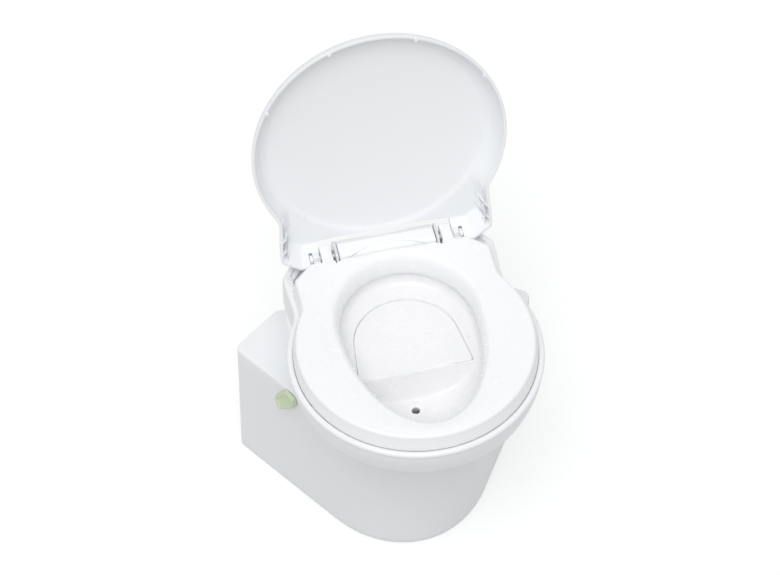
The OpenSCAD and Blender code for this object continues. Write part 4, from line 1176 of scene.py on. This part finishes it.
# %% [markdown]
# ## The hinge
#
# A fixed bridge stands between the seat's lugs, with a hollow front and rear edge and a crowned top.
# A round barrel covers the rod in it, and beside it stand two glossy cheek plates with dark gaps. The
# rod through all of them belongs to the white lever that the seat presses down.

# %% Hinge bridge and cheeks
SEAT_SWING, LUG_SWING = 14.6, 16.2
BARREL_R, ROD_R = 12.8, 3.1


def nose_room(name, x0, x1, radius):
    """The space outside a circle about the hinge, where the seat's rear edge turns past."""
    rings = [
        [
            (x, HINGE[0] + r * math.cos(turn), HINGE[1] + r * math.sin(turn))
            for x, r in ((x0, radius), (x1, radius), (x1, 60), (x0, 60))
        ]
        for turn in np.radians(np.linspace(90, 180, 25))
    ]
    return skin(name, rings, ends="capped")


def hinge_bridge():
    top = [(152, 400), (207, 400), (209, 431), (195, 440.5), (180, 441), (152, 440)]
    bridge = plate("hinge_bridge_skin", top, -BRIDGE_X, BRIDGE_X, 3, 1.2, seat_white)
    rooms = [
        rod("front", (0, 0, 390), (0, 0, 455), SEAT_BACK, sides=360),
        rod("rear", (0, 359, 390), (0, 359, 455), 156, sides=300),
        block("recess", (-80, 201.7, 390), (80, 220, 414.3), soft=0.2),
        nose_room("nose_middle", -63, 63, SEAT_SWING),
        nose_room("nose_right", 62.9, 75, LUG_SWING),
        nose_room("nose_left", -75, -62.9, LUG_SWING),
    ]
    cut(bridge, rooms)
    edge = bridge.modifiers.new("edge", "BEVEL")
    edge.width = 0.9 * MM
    edge.segments = 3
    edge.limit_method = "ANGLE"
    edge.angle_limit = math.radians(50)
    return bridge


stand_for(hinge_bridge(), "upper", "seat_white", "hinge_bridge")
ends = ((-70.3, *HINGE), (70.3, *HINGE))
barrel = rod("hinge_barrel", *ends, BARREL_R, seat_white, sides=120, soft=0.6, inner=ROD_R)
stand_for(barrel, "upper", "seat_white")
cheek_line = [(166, 400), (201, 400), (207, 416), (207, 434), (195, 443), (175, 443), (166, 434)]
cheeks = plate_pair("hinge_cheek_", cheek_line, 72, 76, 5, 0.7, hinge_grey)
stand_for(cheeks[0], "upper", "hinge", "hinge_cheeks")
stand_for(cheeks[1], "upper", "hinge")

# %% [markdown]
# Behind, the upper shell swings on two short lugs. Each one is a plate with a round knuckle that has
# the pin's hole in it, and it reaches back from the shell's rear wall.

# %% Tilt lugs
TILT = (268.0, 236.0)
TILT_X = (47.0, 57.0)
lug_side = [(243, 231), (259, 231), (267, 232), (267, 240), (243, 244)]


def tilt_lug(word):
    lug = plate("tilt_lug_" + word, lug_side, *TILT_X, 1, 0.4, abs_shell)
    knuckle = rod("knuckle", (TILT_X[0], *TILT), (TILT_X[1], *TILT), 7, sides=64)
    cut(lug, [knuckle], "UNION")
    return cut(lug, [rod("pin_hole", (TILT_X[0] - 2, *TILT), (TILT_X[1] + 2, *TILT), 3.1, sides=48)])


for lug in mirrored_pair(tilt_lug):
    stand_for(lug, "upper", "shell")

# %% [markdown]
# ## The green knobs
#
# Each knob is a five-sided cap with soft corners and a raised rim round a dished face, which leans
# back a little.

# %% Knobs
KNOB_RISE = 4.0
KNOB_LEAN = 0.33
KNOB_LINE = [(-17.8, -2.6), (5.8, -20), (19.3, -5.6), (2.9, 17.2), (-15.1, 10.8)]
# Inset and height above the wall: up the side, over the rim and across the face
KNOB_SIDE = [(0.6, 1.1), (0, 1.8), (0, 8.5), (0.4, 10.4), (1.4, 11.5), (2.6, 12), (4.2, 11.9)]
KNOB_FACE = [(5.2, 11.3), (5.8, 10.6), (7.2, 10.4), (10, 10.3), (13, 10.25)]


def knob(side, word):
    point, along, out = wall_frame(side)
    field = slab(KNOB_LINE, 4.5)
    angles = even_angles(220, (0, 0), field)
    rings = []
    for inset, h in KNOB_SIDE + KNOB_FACE:
        p = trace(field, inset, angles)
        rings.append([
            point + along * x + Vector((0, 0, y + KNOB_RISE)) + out * (h - max(h - 2, 0) / 10 * KNOB_LEAN * y)
            for x, y in p
        ])
    cap = skin("knob_" + word, rings, knob_green, "capped")
    shaft = rod("knob_shaft_" + word, point - out * 7, point + out * 1, 4, knob_green)
    body = "latch_" + word
    stand_for(cap, body, "knob", "latch_knob_" + word)
    stand_for(shaft, body, "knob")


knob(1, "right")
knob(-1, "left")

# %% [markdown]
# ## Floor, lamps and background
#
# The object is white on white, so the light does the drawing. The floor is pale grey, with light
# added for the camera and reflections alone, so that it reads as paper and still shows a shadow.

# %% Floor
FLOOR_LIFT = 0.54
FLOOR_HALF = 12000.0
FLOOR_DROP = 0.3


def paper():
    made, tree, end = material("paper_floor")
    place = node(tree, "TexCoord").outputs["Object"]
    grain = node(tree, "TexNoise", {"Vector": place}, in_Scale=1 / (3 * MM), in_Detail=2.0)
    tint = node(
        tree, "Mix", {"Factor": grain.outputs["Fac"]},
        data_type="RGBA", in_6=colour("#BBBCBC"), in_7=colour("#B8B9B9"),
    )
    matt = node(tree, "BsdfDiffuse", {"Color": tint.outputs["Result"]})
    ray = node(tree, "LightPath").outputs
    seen = node(tree, "Math", {0: ray["Is Camera Ray"], 1: ray["Is Glossy Ray"]}, operation="MAXIMUM")
    lift = node(tree, "Math", {0: seen.outputs["Value"]}, operation="MULTIPLY", in_1=FLOOR_LIFT)
    glow = node(tree, "Emission", {"Strength": lift.outputs["Value"]}, in_Color=colour("#FFFFFF"))
    both = node(tree, "AddShader", {0: matt.outputs["BSDF"], 1: glow.outputs["Emission"]})
    tree.links.new(both.outputs["Shader"], end.inputs["Surface"])
    return made


corners = [(x * FLOOR_HALF, y * FLOOR_HALF, 0) for x, y in ((-1, -1), (1, -1), (1, 1), (-1, 1))]
floor = keep_mesh("floor", corners, [(0, 1, 2, 3)], paper())
floor.location.z = -FLOOR_DROP * MM
print("floor side:", round(2 * FLOOR_HALF * MM), "m")

# %% [markdown]
# A broad soft sun from above and in front gives the main shading. An even white world fills the rest,
# and the camera and reflections see it brighter than it shines.

# %% World and lamps
FILL = 0.64
KEY = 1.44


def light_world():
    world = bpy.data.worlds.new("studio")
    world.use_nodes = True
    bpy.context.scene.world = world
    tree = world.node_tree
    tree.nodes.clear()
    ray = node(tree, "LightPath").outputs
    seen = node(tree, "Math", {0: ray["Is Camera Ray"], 1: ray["Is Glossy Ray"]}, operation="MAXIMUM")
    through = node(
        tree, "Math", {0: seen.outputs["Value"], 1: ray["Is Transmission Ray"]},
        operation="MAXIMUM",
    )
    level = node(tree, "MapRange", {"Value": through.outputs["Value"]}, in_To_Min=FILL, in_To_Max=1.0)
    sky = node(tree, "Background", {"Strength": level.outputs["Result"]}, in_Color=colour("#FFFFFF"))
    node(tree, "OutputWorld", {"Surface": sky.outputs["Background"]})


light_world()


def sun(name, strength, toward, spread, tint):
    data = bpy.data.lights.new(name, "SUN")
    data.energy = strength
    data.angle = math.radians(spread)
    data.color = colour(tint)[:3]
    lamp = link(name, data)
    lamp.rotation_mode = "QUATERNION"
    lamp.rotation_quaternion = Vector(toward).to_track_quat("Z", "Y")


sun("key", KEY, (-0.17, -0.46, 0.87), 34, "#FFFFFF")
bpy.context.scene.view_settings.view_transform = "Standard"
print("key and fill:", KEY, FILL)
